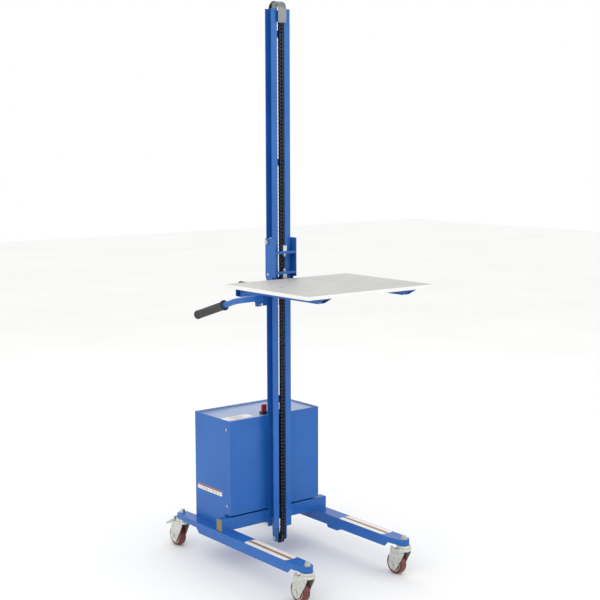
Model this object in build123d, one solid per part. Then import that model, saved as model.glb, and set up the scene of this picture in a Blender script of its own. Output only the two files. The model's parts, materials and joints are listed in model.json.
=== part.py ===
from build123d import *
import math
import os

# Portable mast lift: a chain-driven carriage with a flat platform climbs a twin-channel mast.
# The mast stands on a straddle base with four swivel casters; the cabinet behind it holds the drive.
# Everything is modelled about the mast's centre line (y = 0 at the mast, front towards -Y) and is
# moved along Y when it is written, so that the origin lies under the middle of the whole object.

# ---- driving dimensions (mm) ----
RUN_GAP = 0.3          # gap between faces that move past each other
SHAFT_GAP = 0.05       # radial clearance of a shaft in its hole

MAST_TOP = 1980.0
MAST_FOOT = 118.0
MAST_DEPTH = 38.0
CHANNEL_FLANGE = 25.0
CHANNEL_WALL = 3.2
CHAIN_SLOT = 30.0      # clear width between the two channels

CHAIN_PITCH = 12.7
CHAIN_WIDTH = 16.6
CHAIN_HEIGHT = 11.7
CHAIN_PLATE = 4.2
CHAIN_BACK = 2.5
ROLLER_D = 7.92
SPROCKET_TEETH = 8
DRIVE_TEETH = 20
SPROCKET_THICK = 7.2
TOP_SPROCKET_DROP = 25.0
LOWEST_SPROCKET = 72.0
IDLER_PITCHES = 123    # chain pitches from the top sprocket down to the upper guide roller
DRIVE_RUN_PITCHES = 3
DRIVE_LOOP_PITCHES = 9

PLATFORM_WIDTH = 550.0
PLATFORM_DEPTH = 458.0
PLATFORM_THICK = 12.0
PLATFORM_TOP = 1039.0
PLATFORM_REAR = -53.0
PLATFORM_CORNER = 6.0

TUBE_LENGTH = 416.0
TUBE_HEIGHT = 38.0
TUBE_DEPTH = 32.0
TUBE_WALL = 3.0
TUBE_REAR = -26.0

ARM_OFFSET = 185.0
ARM_WIDTH = 30.0
ARM_HEIGHT = 21.0
ARM_WALL = 3.0
ARM_REACH = 501.0
ARM_NOSE_CUT = 35.0

SIDE_PLATE = 3.2
SIDE_GAP = 5.0         # from the mast's flange edge to the side plate
CARRIAGE_TOP = 1182.0
CARRIAGE_REAR = 14.0
CARRIAGE_FRONT = -44.0
CARRIAGE_CORNER_Z = 1032.0
UPPER_ROLLER_Z = 1168.0
LOWER_ROLLER_Z = 1052.0
UPPER_BAR_Z = 1131.0
LOWER_BAR_Z = 1059.0
BAR_HEIGHT = 9.0
ROLLER_WIDTH = 16.0
AXLE_R = 5.0

HANDLE_PIVOT_Y = 36.0
HANDLE_PIVOT_Z = 964.0
HANDLE_TUBE_D = 22.2
HANDLE_TUBE_WALL = 2.0
HANDLE_OFFSET = 105.0
HANDLE_ELBOW = (84.0, -16.0)
HANDLE_END = (330.0, -92.0)
HANDLE_BEND_R = 30.0
HANDLE_SWEEP_R = 250.0
RIGHT_HANDLE_TILT = 16.0
GRIP_LENGTH = 190.0
GRIP_D = 33.0
GRIP_FLANGE_D = 39.0
CLAMP_D = 34.0
CLAMP_IN = 44.0

LEG_OUTER = 246.0
LEG_WIDTH = 56.0
LEG_TOP = 134.0
LEG_BOTTOM = 96.0
LEG_WALL = 3.0
LEG_FRONT = -363.0
LEG_REAR = 167.0
NOSE_BOTTOM = 114.0
NOSE_WIDTH = 42.0
NOSE_OVERHANG = 18.0
LUG_BOTTOM = 85.0

CROSSBAR_HALF = 240.0
CROSSBAR_FRONT = 24.0
CROSSBAR_DEPTH = 34.0
CROSSBAR_HEIGHT = 46.0
CROSSBAR_WALL = 3.0

STEM_X = 218.0
STEM_FRONT_Y = -434.0
STEM_REAR_Y = 317.0
STEM_R = 6.0
WHEEL_D = 76.2
WHEEL_WIDTH = 28.0
TYRE_DEPTH = 10.0
CASTER_TRAIL = 36.0
CAP_D = 50.0
CAP_THICK = 9.0
CROWN_REACH = 32.0     # from the stem to the rear edge of the fork's top plate
FORK_CROWN = 11.0
FORK_PLATE = 3.0
FORK_EYE_R = 23.0
WHEEL_AXLE_R = 4.0
PEDAL_PIVOT = (42.0, 94.0)
PEDAL_TIP = (103.0, 66.0)
PEDAL_WIDTH = 24.0
PEDAL_PIN_R = 3.0

CABINET_HALF = 203.0
CABINET_FRONT = 24.0
CABINET_REAR = 249.0
CABINET_TOP = 534.0
CABINET_WALL = 2.0
CABINET_GAP = 6.0      # shadow gap over the crossbar
REAR_PANEL = 11.0
TRAY_DROP = 6.0
TRAY_WALL = 1.6

BATTERY = (125.0, 165.0, 175.0)
MOTOR_D = 76.0
MOTOR_LENGTH = 120.0
GEARBOX_WIDTH = 70.0

# ---- sizes that follow ----
slot = CHAIN_SLOT / 2
flange_x = slot + CHANNEL_FLANGE
front_y = -MAST_DEPTH / 2
rear_y = MAST_DEPTH / 2
inner_y = MAST_DEPTH / 2 - CHANNEL_WALL
web_x = slot + CHANNEL_WALL

pitch_r = CHAIN_PITCH / 2 / math.sin(math.pi / SPROCKET_TEETH)
drive_r = CHAIN_PITCH / 2 / math.sin(math.pi / DRIVE_TEETH)
top_z = MAST_TOP - TOP_SPROCKET_DROP
strand_pitches = round((top_z - LOWEST_SPROCKET) / CHAIN_PITCH)
bottom_z = top_z - strand_pitches * CHAIN_PITCH
upper_idler_z = top_z - IDLER_PITCHES * CHAIN_PITCH
lower_idler_z = upper_idler_z - DRIVE_LOOP_PITCHES * CHAIN_PITCH
idler_y = 2 * pitch_r
drive_y = idler_y + DRIVE_RUN_PITCHES * CHAIN_PITCH
drive_z = (upper_idler_z + lower_idler_z) / 2

platform_bottom = PLATFORM_TOP - PLATFORM_THICK
platform_front = PLATFORM_REAR - PLATFORM_DEPTH
tube_front = TUBE_REAR - TUBE_DEPTH
tube_bottom = platform_bottom - TUBE_HEIGHT
plate_in = flange_x + SIDE_GAP
plate_out = plate_in + SIDE_PLATE
guide_r = inner_y - RUN_GAP

leg_inner = LEG_OUTER - LEG_WIDTH
leg_mid = LEG_OUTER - LEG_WIDTH / 2
nose_slope = NOSE_BOTTOM - LEG_BOTTOM
clamp_out = HANDLE_OFFSET - HANDLE_BEND_R - 1.0
crossbar_bottom = LEG_TOP
crossbar_top = crossbar_bottom + CROSSBAR_HEIGHT
crossbar_rear = CROSSBAR_FRONT + CROSSBAR_DEPTH
cabinet_low = crossbar_top + CABINET_GAP
floor_z = LEG_TOP

wheel_r = WHEEL_D / 2
cap_top = NOSE_BOTTOM - RUN_GAP
crown_top = cap_top - CAP_THICK - RUN_GAP
crown_bottom = crown_top - FORK_CROWN
fork_in = WHEEL_WIDTH / 2 + 2.0
fork_out = fork_in + FORK_PLATE
stem_spots = {
    "fl": (-STEM_X, STEM_FRONT_Y),
    "fr": (STEM_X, STEM_FRONT_Y),
    "rl": (-STEM_X, STEM_REAR_Y),
    "rr": (STEM_X, STEM_REAR_Y),
}

object_front = platform_front
object_rear = STEM_REAR_Y + PEDAL_TIP[0]
MAST_SETBACK = -(object_front + object_rear) / 2


# ---- small builders ----
def block(x0, x1, y0, y1, z0, z1):
    """A box between six planes."""
    centre = Pos((x0 + x1) / 2, (y0 + y1) / 2, (z0 + z1) / 2)
    return centre * Box(abs(x1 - x0), abs(y1 - y0), abs(z1 - z0))


def rod_x(x0, x1, y, z, radius):
    """A round bar along X."""
    return Pos((x0 + x1) / 2, y, z) * Rot(0, 90, 0) * Cylinder(radius, abs(x1 - x0))


def rod_y(y0, y1, x, z, radius):
    """A round bar along Y."""
    return Pos(x, (y0 + y1) / 2, z) * Rot(90, 0, 0) * Cylinder(radius, abs(y1 - y0))


def rod_z(z0, z1, x, y, radius):
    """A round bar along Z."""
    return Pos(x, y, (z0 + z1) / 2) * Cylinder(radius, abs(z1 - z0))


def hexagon(across_flats, height):
    """A hexagonal prism standing on the local origin."""
    return extrude(RegularPolygon(across_flats / 2, 6, major_radius=False), height)


def hex_x(x0, x1, y, z, across_flats):
    """A hexagonal head or nut along X, from x0 towards x1."""
    turn = Rot(0, 90, 0) if x1 > x0 else Rot(0, -90, 0)
    return Pos(x0, y, z) * turn * hexagon(across_flats, abs(x1 - x0))


def hex_z(z0, z1, x, y, across_flats):
    """A hexagonal head or nut along Z."""
    return Pos(x, y, z0) * hexagon(across_flats, z1 - z0)


def side_plate(points, x0, x1):
    """A plate with an outline in the Y-Z plane, between two values of x."""
    outline = make_face(Polyline(*points, close=True))
    return Pos(x0, 0, 0) * extrude(Plane.YZ * outline, x1 - x0)


def tapered_link(x0, x1, wide, narrow):
    """A plate from a rectangle (y0, y1, z0, z1) that tapers to a round end (y, z, r)."""
    y0, y1, z0, z1 = wide
    y, z, r = narrow
    upper = make_face(Polyline((y0, z0), (y1, z0), (y1, z1), (y0, z1), close=True))
    lower = Pos(y, z) * Circle(r)
    outline = make_hull(upper.edges() + lower.edges())
    return Pos(x0, 0, 0) * extrude(Plane.YZ * outline, x1 - x0)


def mirrored(shape):
    """The same piece on the other side of the mast."""
    return mirror(shape, about=Plane.YZ)


def pair(shape):
    """A piece and its mirror image, as two separate solids."""
    return [shape, mirrored(shape)]


def solids_of(pieces):
    """All the solids in a list of shapes."""
    return [solid for piece in pieces for solid in piece.solids()]


# ---- mast ----
def mast_channel():
    """One C-channel of the mast, its web beside the chain slot and its mouth facing outwards."""
    outer = block(slot, flange_x, front_y, rear_y, MAST_FOOT, MAST_TOP)
    hollow = block(web_x, flange_x + 1, -inner_y, inner_y, MAST_FOOT - 1, MAST_TOP + 1)
    channel = outer - hollow
    long_edges = channel.edges().filter_by(Axis.Z)
    outside = [e for e in long_edges if abs(e.center().X - slot) < 0.01]
    channel = fillet(outside, CHANNEL_WALL * 0.8)
    channel -= rod_x(0, web_x + 1, 0, top_z, AXLE_R + SHAFT_GAP)
    for y in BRACKET_BOLT_Y:
        for z in BRACKET_BOLT_Z:
            channel -= rod_x(0, web_x + 1, y, z, FRAME_BOLT_R + SHAFT_GAP)
    return channel


FRAME_BOLT_R = 4.0
BRACKET_BOLT_Y = (-9.0, 9.0)
BRACKET_BOLT_Z = (MAST_FOOT + 9, MAST_FOOT + 26)
SPACER_HEIGHT = 24.0
SPACER_DEPTH = 15.0
spacer_heights = [upper_idler_z - 215, upper_idler_z + 190]
spacer_heights += [drive_z + share * (top_z - drive_z) for share in (0.42, 0.68, 0.955)]


def mast_spacers():
    """Welded blocks that hold the two channels apart, between the chain's two strands."""
    return [
        block(-slot, slot, -SPACER_DEPTH / 2, SPACER_DEPTH / 2, z, z + SPACER_HEIGHT)
        for z in spacer_heights
    ]


CAP_R = 28.0
CAP_WALL = 2.0
CAP_HALF = 18.0
CAP_FRONT_DROP = 46.0
CAP_REAR_DROP = 20.0
CHEEK_WALL = 2.0


def top_cap():
    """The hood over the top sprocket: a bent strip with a rolled lip and two inner cheeks."""
    bend_z = MAST_TOP + 7 - CAP_R + 20
    band = Pos(0, 0, bend_z) * Rot(0, 90, 0) * Cylinder(CAP_R, 2 * CAP_HALF)
    band -= Pos(0, 0, bend_z) * Rot(0, 90, 0) * Cylinder(CAP_R - CAP_WALL, 2 * CAP_HALF + 2)
    band -= block(-CAP_HALF - 1, CAP_HALF + 1, -CAP_R - 1, CAP_R + 1, bend_z - CAP_R - 1, bend_z)
    inner = CAP_R - CAP_WALL
    front = block(-CAP_HALF, CAP_HALF, -CAP_R, -inner, bend_z - CAP_FRONT_DROP, bend_z)
    rear = block(-CAP_HALF, CAP_HALF, inner, CAP_R, bend_z - CAP_REAR_DROP, bend_z)
    lip = rod_x(-CAP_HALF, CAP_HALF, -CAP_R + CAP_WALL / 2, bend_z - CAP_FRONT_DROP, CAP_WALL)
    hood = band + front + rear + lip
    cheek_out = slot - 0.1
    reach = bend_z + math.sqrt(inner**2 - 12.0**2) + CAP_WALL / 2
    for sign in (-1, 1):
        x0, x1 = sorted((sign * cheek_out, sign * (cheek_out - CHEEK_WALL)))
        cheek = block(x0, x1, -12, 12, top_z - 12, reach)
        cheek -= rod_x(x0 - 1, x1 + 1, 0, top_z, AXLE_R + SHAFT_GAP)
        hood += cheek
    return hood


def sprocket(teeth, hub_r, hub_half, bore_r):
    """A chain sprocket about X at the origin, with a roller seat facing -Y."""
    radius = CHAIN_PITCH / 2 / math.sin(math.pi / teeth)
    half = SPROCKET_THICK / 2
    disc = rod_x(-half, half, 0, 0, radius + 2.4)
    seat_r = ROLLER_D / 2 + 0.15
    for tooth in range(teeth):
        angle = math.pi + 2 * math.pi * tooth / teeth
        y = radius * math.cos(angle)
        z = radius * math.sin(angle)
        disc -= rod_x(-half - 1, half + 1, y, z, seat_r)
    wheel = disc + rod_x(-hub_half, hub_half, 0, 0, hub_r)
    if bore_r:
        wheel -= rod_x(-hub_half - 1, hub_half + 1, 0, 0, bore_r)
    return wheel


def chain_wheel(z, hub_half):
    """The idle sprocket at the top or the bottom of the mast."""
    return Pos(0, 0, z) * sprocket(SPROCKET_TEETH, 9.0, hub_half, AXLE_R + SHAFT_GAP)


def top_axle():
    """The bolt that carries the top sprocket and the hood, through both channels' webs."""
    shank = rod_x(-web_x - 2, web_x + 8, 0, top_z, AXLE_R)
    head = hex_x(-web_x, -web_x - 6, 0, top_z, 16)
    nut = hex_x(web_x, web_x + 7, 0, top_z, 16)
    return shank + head + nut


BRACKET_WALL = 4.0
BRACKET_RISE = 34.0


def bottom_bracket():
    """One of the two tapered plates that hang the lower sprocket under the mast."""
    x0 = web_x
    x1 = web_x + BRACKET_WALL
    half = inner_y - 0.3
    wide = (-half, half, MAST_FOOT - 4, MAST_FOOT + BRACKET_RISE)
    plate = tapered_link(x0, x1, wide, (0, bottom_z, 14))
    plate -= rod_x(x0 - 1, x1 + 1, 0, bottom_z, AXLE_R + SHAFT_GAP)
    for y in BRACKET_BOLT_Y:
        for z in BRACKET_BOLT_Z:
            plate -= rod_x(x0 - 1, x1 + 1, y, z, FRAME_BOLT_R + SHAFT_GAP)
    return plate


def bottom_axle():
    """The bolt that carries the lower sprocket between the bracket plates."""
    reach = web_x + BRACKET_WALL
    shank = rod_x(-reach - 2, reach + 9, 0, bottom_z, AXLE_R)
    head = hex_x(-reach, -reach - 6, 0, bottom_z, 16)
    nut = hex_x(reach, reach + 7, 0, bottom_z, 16)
    spacers = [rod_x(*span, 0, bottom_z, AXLE_R + 3) for span in ((-web_x, -13.3), (13.3, web_x))]
    return shank + head + nut + spacers


def bracket_bolts():
    """Eight bolts that fix the bracket plates to the channel webs, nuts inside the slot."""
    bolts = []
    reach = web_x + BRACKET_WALL
    for y in BRACKET_BOLT_Y:
        for z in BRACKET_BOLT_Z:
            shank = rod_x(slot - 4, reach + 1, y, z, FRAME_BOLT_R)
            bolts += pair(shank + hex_x(reach, reach + 4.5, y, z, 13))
    return bolts


# ---- chain ----
def chain_outline(offset):
    """The chain loop's outline, a given distance outside its pitch line, in the Y-Z plane."""
    wheels = [
        # centre y, centre z, pitch radius, start angle, end angle; a falling angle turns clockwise
        (0, top_z, pitch_r, 180, 0),
        (idler_y, upper_idler_z, pitch_r, 180, 270),
        (drive_y, drive_z, drive_r, 90, -90),
        (idler_y, lower_idler_z, pitch_r, 90, 180),
        (0, bottom_z, pitch_r, 0, -180),
    ]
    arcs = []
    for y, z, radius, start, end in wheels:
        reach = radius + offset if end < start else radius - offset
        stops = []
        for angle in (start, (start + end) / 2, end):
            turn = math.radians(angle)
            stops.append((y + reach * math.cos(turn), z + reach * math.sin(turn)))
        arcs.append(stops)
    edges = []
    for here, following in zip(arcs, arcs[1:] + arcs[:1]):
        edges.append(ThreePointArc(*here))
        edges.append(Line(here[2], following[0]))
    return make_face(Curve() + edges)


def lift_chain():
    """The roller chain as one loop: two rows of side plates joined along their outer edge."""
    half = CHAIN_WIDTH / 2
    inner_half = half - CHAIN_PLATE
    tall = CHAIN_HEIGHT / 2
    loop = Plane.YZ * (chain_outline(tall) - chain_outline(-tall))
    hollow = Plane.YZ * (chain_outline(tall - CHAIN_BACK) - chain_outline(-tall - 1))
    chain = Pos(-half, 0, 0) * extrude(loop, CHAIN_WIDTH)
    return chain - Pos(-inner_half, 0, 0) * extrude(hollow, 2 * inner_half)


# ---- drive, inside the cabinet ----
IDLER_CHEEK_IN = 16.5
IDLER_CHEEK = 4.0
idler_r = pitch_r - CHAIN_HEIGHT / 2 - RUN_GAP


def guide_drum(z):
    """A plain nylon roller that turns the chain's rear strand towards the drive sprocket."""
    half = IDLER_CHEEK_IN - RUN_GAP - 2
    drum = rod_x(-half, half, idler_y, z, idler_r)
    return drum - rod_x(-half - 1, half + 1, idler_y, z, AXLE_R + SHAFT_GAP)


def idler_bracket():
    """Two cheek plates behind the cabinet's front wall, with the guide rollers' pins."""
    y0 = CABINET_FRONT + CABINET_WALL
    y1 = idler_y + 14
    low = lower_idler_z - 18
    high = upper_idler_z + 18
    out = IDLER_CHEEK_IN + IDLER_CHEEK
    bracket = block(-out, -IDLER_CHEEK_IN, y0, y1, low, high)
    bracket += block(IDLER_CHEEK_IN, out, y0, y1, low, high)
    for z in (upper_idler_z, lower_idler_z):
        bracket += rod_x(-out, out, idler_y, z, AXLE_R)
    return bracket


SHAFT_R = 9.0
GEARBOX_IN = 26.0
GEARBOX_HALF = 37.0
SHAFT_SEAT = 22.0
MOTOR_MOUNT = 8.0
motor_x = GEARBOX_IN + GEARBOX_WIDTH / 2


def drive_sprocket():
    """The driven sprocket with its shaft, which ends inside the gearbox."""
    wheel = sprocket(DRIVE_TEETH, 16.0, 4.0, 0)
    shaft = rod_x(-14, GEARBOX_IN + SHAFT_SEAT - 0.5, 0, 0, SHAFT_R)
    return Pos(0, drive_y, drive_z) * (wheel + shaft)


def gearbox():
    """The right-angle gearbox, with a ribbed case and the output shaft's socket."""
    low = drive_z - 44
    high = drive_z + 44
    x1 = GEARBOX_IN + GEARBOX_WIDTH
    case = block(GEARBOX_IN, x1, drive_y - GEARBOX_HALF, drive_y + GEARBOX_HALF, low, high)
    case = fillet(case.edges().filter_by(Axis.X), 8)
    case += rod_x(GEARBOX_IN - 5, GEARBOX_IN, drive_y, drive_z, 19)
    case -= rod_x(GEARBOX_IN - 6, GEARBOX_IN + SHAFT_SEAT, drive_y, drive_z, SHAFT_R + SHAFT_GAP)
    return case


def motor_mount():
    """The plate that carries the gearbox on the cabinet's front wall."""
    y0 = CABINET_FRONT + CABINET_WALL
    y1 = drive_y - GEARBOX_HALF
    return block(GEARBOX_IN, GEARBOX_IN + GEARBOX_WIDTH + 24, y0, y1, drive_z - 70, drive_z + 70)


def drive_motor():
    """The round motor on the gearbox's rear face, with its end cap and terminals."""
    y0 = drive_y + GEARBOX_HALF
    body = rod_y(y0, y0 + MOTOR_LENGTH - 16, motor_x, drive_z, MOTOR_D / 2)
    end_cap = rod_y(y0 + MOTOR_LENGTH - 16, y0 + MOTOR_LENGTH, motor_x, drive_z, MOTOR_D / 2 - 4)
    posts = [rod_z(drive_z, drive_z + MOTOR_D / 2 + 9, motor_x + dx, y0 + 85, 4) for dx in (-12, 12)]
    return body + end_cap + posts


def battery():
    """The sealed battery on the cabinet floor, with a raised lid and two posts."""
    wide, deep, tall = BATTERY
    x0 = -CABINET_HALF + 33
    y0 = crossbar_rear + 8
    z0 = floor_z + CABINET_WALL
    case = block(x0, x0 + wide, y0, y0 + deep, z0, z0 + tall - 12)
    lid = block(x0 + 2, x0 + wide - 2, y0 + 2, y0 + deep - 2, z0 + tall - 12, z0 + tall)
    posts = [rod_z(z0 + tall, z0 + tall + 9, x0 + dx, y0 + 24, 7) for dx in (26, wide - 26)]
    return case + lid + posts


def controller():
    """The motor controller's finned case, on the inside of the cabinet's front wall."""
    y0 = CABINET_FRONT + CABINET_WALL
    case = block(-CABINET_HALF + 20, -CABINET_HALF + 125, y0, y0 + 22, 385, 495)
    for fin in range(7):
        z = 391 + fin * 15
        case += block(-CABINET_HALF + 22, -CABINET_HALF + 123, y0 + 22, y0 + 34, z, z + 6)
    return case


# ---- cabinet ----
def cabinet_profile(inset):
    """The cabinet's side view, notched over the crossbar, pulled in by a wall's thickness."""
    return [
        (CABINET_FRONT + inset, cabinet_low + inset),
        (crossbar_rear + 2 + inset, cabinet_low + inset),
        (crossbar_rear + 2 + inset, floor_z + inset),
        (CABINET_REAR - REAR_PANEL, floor_z + inset),
        (CABINET_REAR - REAR_PANEL, CABINET_TOP),
        (CABINET_FRONT + inset, CABINET_TOP),
    ]


SCREW_R = 2.5
side_screw_z = (CABINET_TOP - 33, cabinet_low + 34)
side_screw_y = CABINET_FRONT + 18


def cabinet_shell():
    """The folded shell: front, sides and floor, open at the top and the back."""
    outer = side_plate(cabinet_profile(0), -CABINET_HALF, CABINET_HALF)
    half = CABINET_HALF - CABINET_WALL
    inside = side_plate(cabinet_profile(CABINET_WALL), -half, half)
    rear = CABINET_REAR - REAR_PANEL
    low = floor_z + CABINET_WALL
    inside += block(-half, half, rear - 1, rear + 1, low, CABINET_TOP)
    inside += block(
        -half, half, CABINET_FRONT + CABINET_WALL, rear, CABINET_TOP - 1, CABINET_TOP + 1
    )
    shell = outer - inside
    shell -= block(-16, 16, CABINET_FRONT - 1, CABINET_FRONT + 3, lower_idler_z - 30, upper_idler_z + 30)
    for sign in (-1, 1):
        for z in side_screw_z:
            x = sign * CABINET_HALF
            shell -= rod_x(x - 3, x + 3, side_screw_y, z, SCREW_R + SHAFT_GAP)
    return shell


def cabinet_rear_panel():
    """The removable rear cover, a shallow pan that closes the shell, with louvre slots."""
    y0 = CABINET_REAR - REAR_PANEL
    pan = block(-CABINET_HALF, CABINET_HALF, y0, CABINET_REAR, floor_z, CABINET_TOP)
    pan = fillet(pan.edges().filter_by(Axis.Z).sort_by(Axis.Y)[-2:], 3)
    half = CABINET_HALF - CABINET_WALL
    low = floor_z + CABINET_WALL
    pan -= block(-half, half, y0 - 1, CABINET_REAR - CABINET_WALL, low, CABINET_TOP - CABINET_WALL)
    for slot_number in range(6):
        z = CABINET_TOP - 90 + slot_number * 11
        pan -= block(-70, 70, CABINET_REAR - 4, CABINET_REAR + 1, z, z + 4.5)
    for x, z in rear_screw_spots():
        pan -= rod_y(CABINET_REAR - 4, CABINET_REAR + 1, x, z, SCREW_R + SHAFT_GAP)
    return pan


def rear_screw_spots():
    """Where the rear cover's six screws stand."""
    reach = CABINET_HALF - 18
    middle = (floor_z + CABINET_TOP) / 2
    return [(sign * reach, z) for sign in (-1, 1) for z in (floor_z + 25, middle, CABINET_TOP - 25)]


def cabinet_screws():
    """Round-headed screws of the cabinet: four in the sides and six in the rear cover."""
    screws = []
    for z in side_screw_z:
        shank = rod_x(-CABINET_HALF, -CABINET_HALF + 8, side_screw_y, z, SCREW_R)
        head = rod_x(-CABINET_HALF - 2.6, -CABINET_HALF, side_screw_y, z, 4.6)
        screws += pair(shank + head)
    for x, z in rear_screw_spots():
        shank = rod_y(CABINET_REAR - 8, CABINET_REAR, x, z, SCREW_R)
        screws.append(shank + rod_y(CABINET_REAR, CABINET_REAR + 2.6, x, z, 4.6))
    return screws


tray_z = CABINET_TOP - TRAY_DROP


def cabinet_tray():
    """The recessed top: a shallow tray between the shell's walls, with two switch holes."""
    half = CABINET_HALF - CABINET_WALL
    y0 = CABINET_FRONT + CABINET_WALL
    y1 = CABINET_REAR - REAR_PANEL
    tray = block(-half, half, y0, y1, tray_z - TRAY_WALL, CABINET_TOP - 1)
    tray -= block(
        -half + TRAY_WALL, half - TRAY_WALL, y0 + TRAY_WALL, y1 - TRAY_WALL, tray_z, CABINET_TOP
    )
    for x in switch_spots:
        tray -= block(x - 9, x + 9, SWITCH_Y - 7, SWITCH_Y + 7, tray_z - 4, tray_z + 1)
    return tray


SWITCH_Y = 70.0
POWER_SWITCH_X = -17.0
LIFT_SWITCH_X = 34.0
switch_spots = (POWER_SWITCH_X, LIFT_SWITCH_X)
SWITCH_BASE = (13.0, 11.0, 10.0)
SWITCH_PIVOT_RISE = 7.0
SWITCH_PIN_R = 1.5
switch_pivot_z = tray_z + SWITCH_PIVOT_RISE


def switch_bases():
    """Two switch bodies with a slot for the lever and its pivot pin."""
    half_x, half_y, tall = SWITCH_BASE
    bases = []
    for x in switch_spots:
        base = block(x - half_x, x + half_x, SWITCH_Y - half_y, SWITCH_Y + half_y, tray_z, tray_z + tall)
        base += block(x - 8.5, x + 8.5, SWITCH_Y - 6.5, SWITCH_Y + 6.5, tray_z - 18, tray_z)
        lever_half = 9.3 if x == POWER_SWITCH_X else 5.3
        base -= block(x - lever_half, x + lever_half, SWITCH_Y - 8, SWITCH_Y + 8, tray_z + 1, tray_z + tall + 1)
        base += rod_x(x - half_x + 1, x + half_x - 1, SWITCH_Y, switch_pivot_z, SWITCH_PIN_R)
        bases.append(base)
    return bases


def switch_lever(x, half_x, half_y, rise):
    """A switch's lever: a round foot on the pivot pin and an upright paddle."""
    foot = rod_x(x - half_x, x + half_x, SWITCH_Y, switch_pivot_z, 4.5)
    top = tray_z + SWITCH_BASE[2] + rise
    paddle = block(x - half_x, x + half_x, SWITCH_Y - half_y, SWITCH_Y + half_y, switch_pivot_z, top)
    paddle = fillet(paddle.edges().group_by(Axis.Z)[-1], half_y * 0.6)
    lever = foot + paddle
    return lever - rod_x(x - half_x - 1, x + half_x + 1, SWITCH_Y, switch_pivot_z, SWITCH_PIN_R + SHAFT_GAP)


# ---- base ----
def leg_shape(inset):
    """A leg's solid outline, narrowed by a wall's thickness: a beam with a flat nose at each end."""
    nose_front = STEM_FRONT_Y - NOSE_OVERHANG + inset
    nose_rear = STEM_REAR_Y + NOSE_OVERHANG - inset
    drop = 20 if inset else 0
    side = [
        (LEG_FRONT, LEG_BOTTOM - drop),
        (LEG_REAR, LEG_BOTTOM - drop),
        (LEG_REAR + nose_slope, NOSE_BOTTOM - drop),
        (nose_rear, NOSE_BOTTOM - drop),
        (nose_rear, LEG_TOP - inset),
        (nose_front, LEG_TOP - inset),
        (nose_front, NOSE_BOTTOM - drop),
        (LEG_FRONT - nose_slope, NOSE_BOTTOM - drop),
    ]
    half = LEG_WIDTH / 2 - inset
    tip = NOSE_WIDTH / 2 - inset
    round_off = 12
    taper_rear = LEG_REAR + nose_slope + 20
    taper_front = LEG_FRONT - nose_slope - 8
    plan = [
        (-half, taper_front),
        (-tip, nose_front + round_off),
        (-tip + round_off, nose_front),
        (tip - round_off, nose_front),
        (tip, nose_front + round_off),
        (half, taper_front),
        (half, taper_rear),
        (tip, nose_rear - round_off),
        (tip - round_off, nose_rear),
        (-tip + round_off, nose_rear),
        (-tip, nose_rear - round_off),
        (-half, taper_rear),
    ]
    tall = LEG_TOP + 20
    footprint = extrude(make_face(Polyline(*plan, close=True)), tall)
    return footprint & side_plate(side, -half, half)


def base_leg():
    """The right leg: an inverted channel with a caster hole in each nose and a lug inside."""
    leg = leg_shape(0) - leg_shape(LEG_WALL)
    for y in (STEM_FRONT_Y, STEM_REAR_Y):
        leg -= rod_z(LEG_TOP - 10, LEG_TOP + 1, STEM_X - leg_mid, y, STEM_R + SHAFT_GAP)
    lug_outline = [(-44, LEG_BOTTOM + 8), (-44, LUG_BOTTOM + 4), (-50, LUG_BOTTOM), (-100, LUG_BOTTOM)]
    lug_outline += [(-128, LEG_BOTTOM), (-128, LEG_BOTTOM + 8)]
    half = LEG_WIDTH / 2
    leg += side_plate(lug_outline, -half, -half + LEG_WALL)
    return Pos(leg_mid, 0, 0) * leg


def base_crossbar():
    """The square tube across the base, which the mast stands against."""
    outer = block(
        -CROSSBAR_HALF, CROSSBAR_HALF, CROSSBAR_FRONT, crossbar_rear, crossbar_bottom, crossbar_top
    )
    outer = fillet(outer.edges().filter_by(Axis.X), CROSSBAR_WALL)
    wall = CROSSBAR_WALL
    hollow = block(
        -CROSSBAR_HALF - 1,
        CROSSBAR_HALF + 1,
        CROSSBAR_FRONT + wall,
        crossbar_rear - wall,
        crossbar_bottom + wall,
        crossbar_top - wall,
    )
    return outer - hollow


PLUG_DEPTH = 14.0


def crossbar_plug():
    """The end plug pressed into one end of the crossbar, with a thin flange."""
    wall = CROSSBAR_WALL
    body = block(
        CROSSBAR_HALF - PLUG_DEPTH,
        CROSSBAR_HALF,
        CROSSBAR_FRONT + wall,
        crossbar_rear - wall,
        crossbar_bottom + wall,
        crossbar_top - wall,
    )
    flange = block(
        CROSSBAR_HALF,
        CROSSBAR_HALF + 2,
        CROSSBAR_FRONT + 1,
        crossbar_rear - 1,
        crossbar_bottom + 1,
        crossbar_top - 1,
    )
    return body + flange


upper_mount_z = CABINET_TOP - 44


def mast_mounts():
    """Four packing plates between the mast's rear flanges and what holds it."""
    lower = block(slot, flange_x, rear_y, CROSSBAR_FRONT, crossbar_bottom + 4, crossbar_top - 4)
    upper = block(slot, flange_x, rear_y, CABINET_FRONT, upper_mount_z, upper_mount_z + 34)
    return pair(lower) + pair(upper)


# ---- casters ----
def caster_head(x, y):
    """The fixed half of a caster: race cap, spacer bush, threaded stem and king pin."""
    cap = rod_z(cap_top - CAP_THICK, cap_top, x, y, CAP_D / 2)
    cap = fillet(cap.edges().sort_by(Axis.Z)[-1], 3)
    bush = rod_z(cap_top, LEG_TOP - LEG_WALL, x, y, 11)
    stem = rod_z(cap_top, LEG_TOP + 14, x, y, STEM_R)
    king_pin = rod_z(crown_bottom - 1, cap_top, x, y, STEM_R)
    rivet = rod_z(crown_bottom - RUN_GAP - 5, crown_bottom - RUN_GAP, x, y, 10)
    return cap + bush + stem + king_pin + rivet


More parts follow.
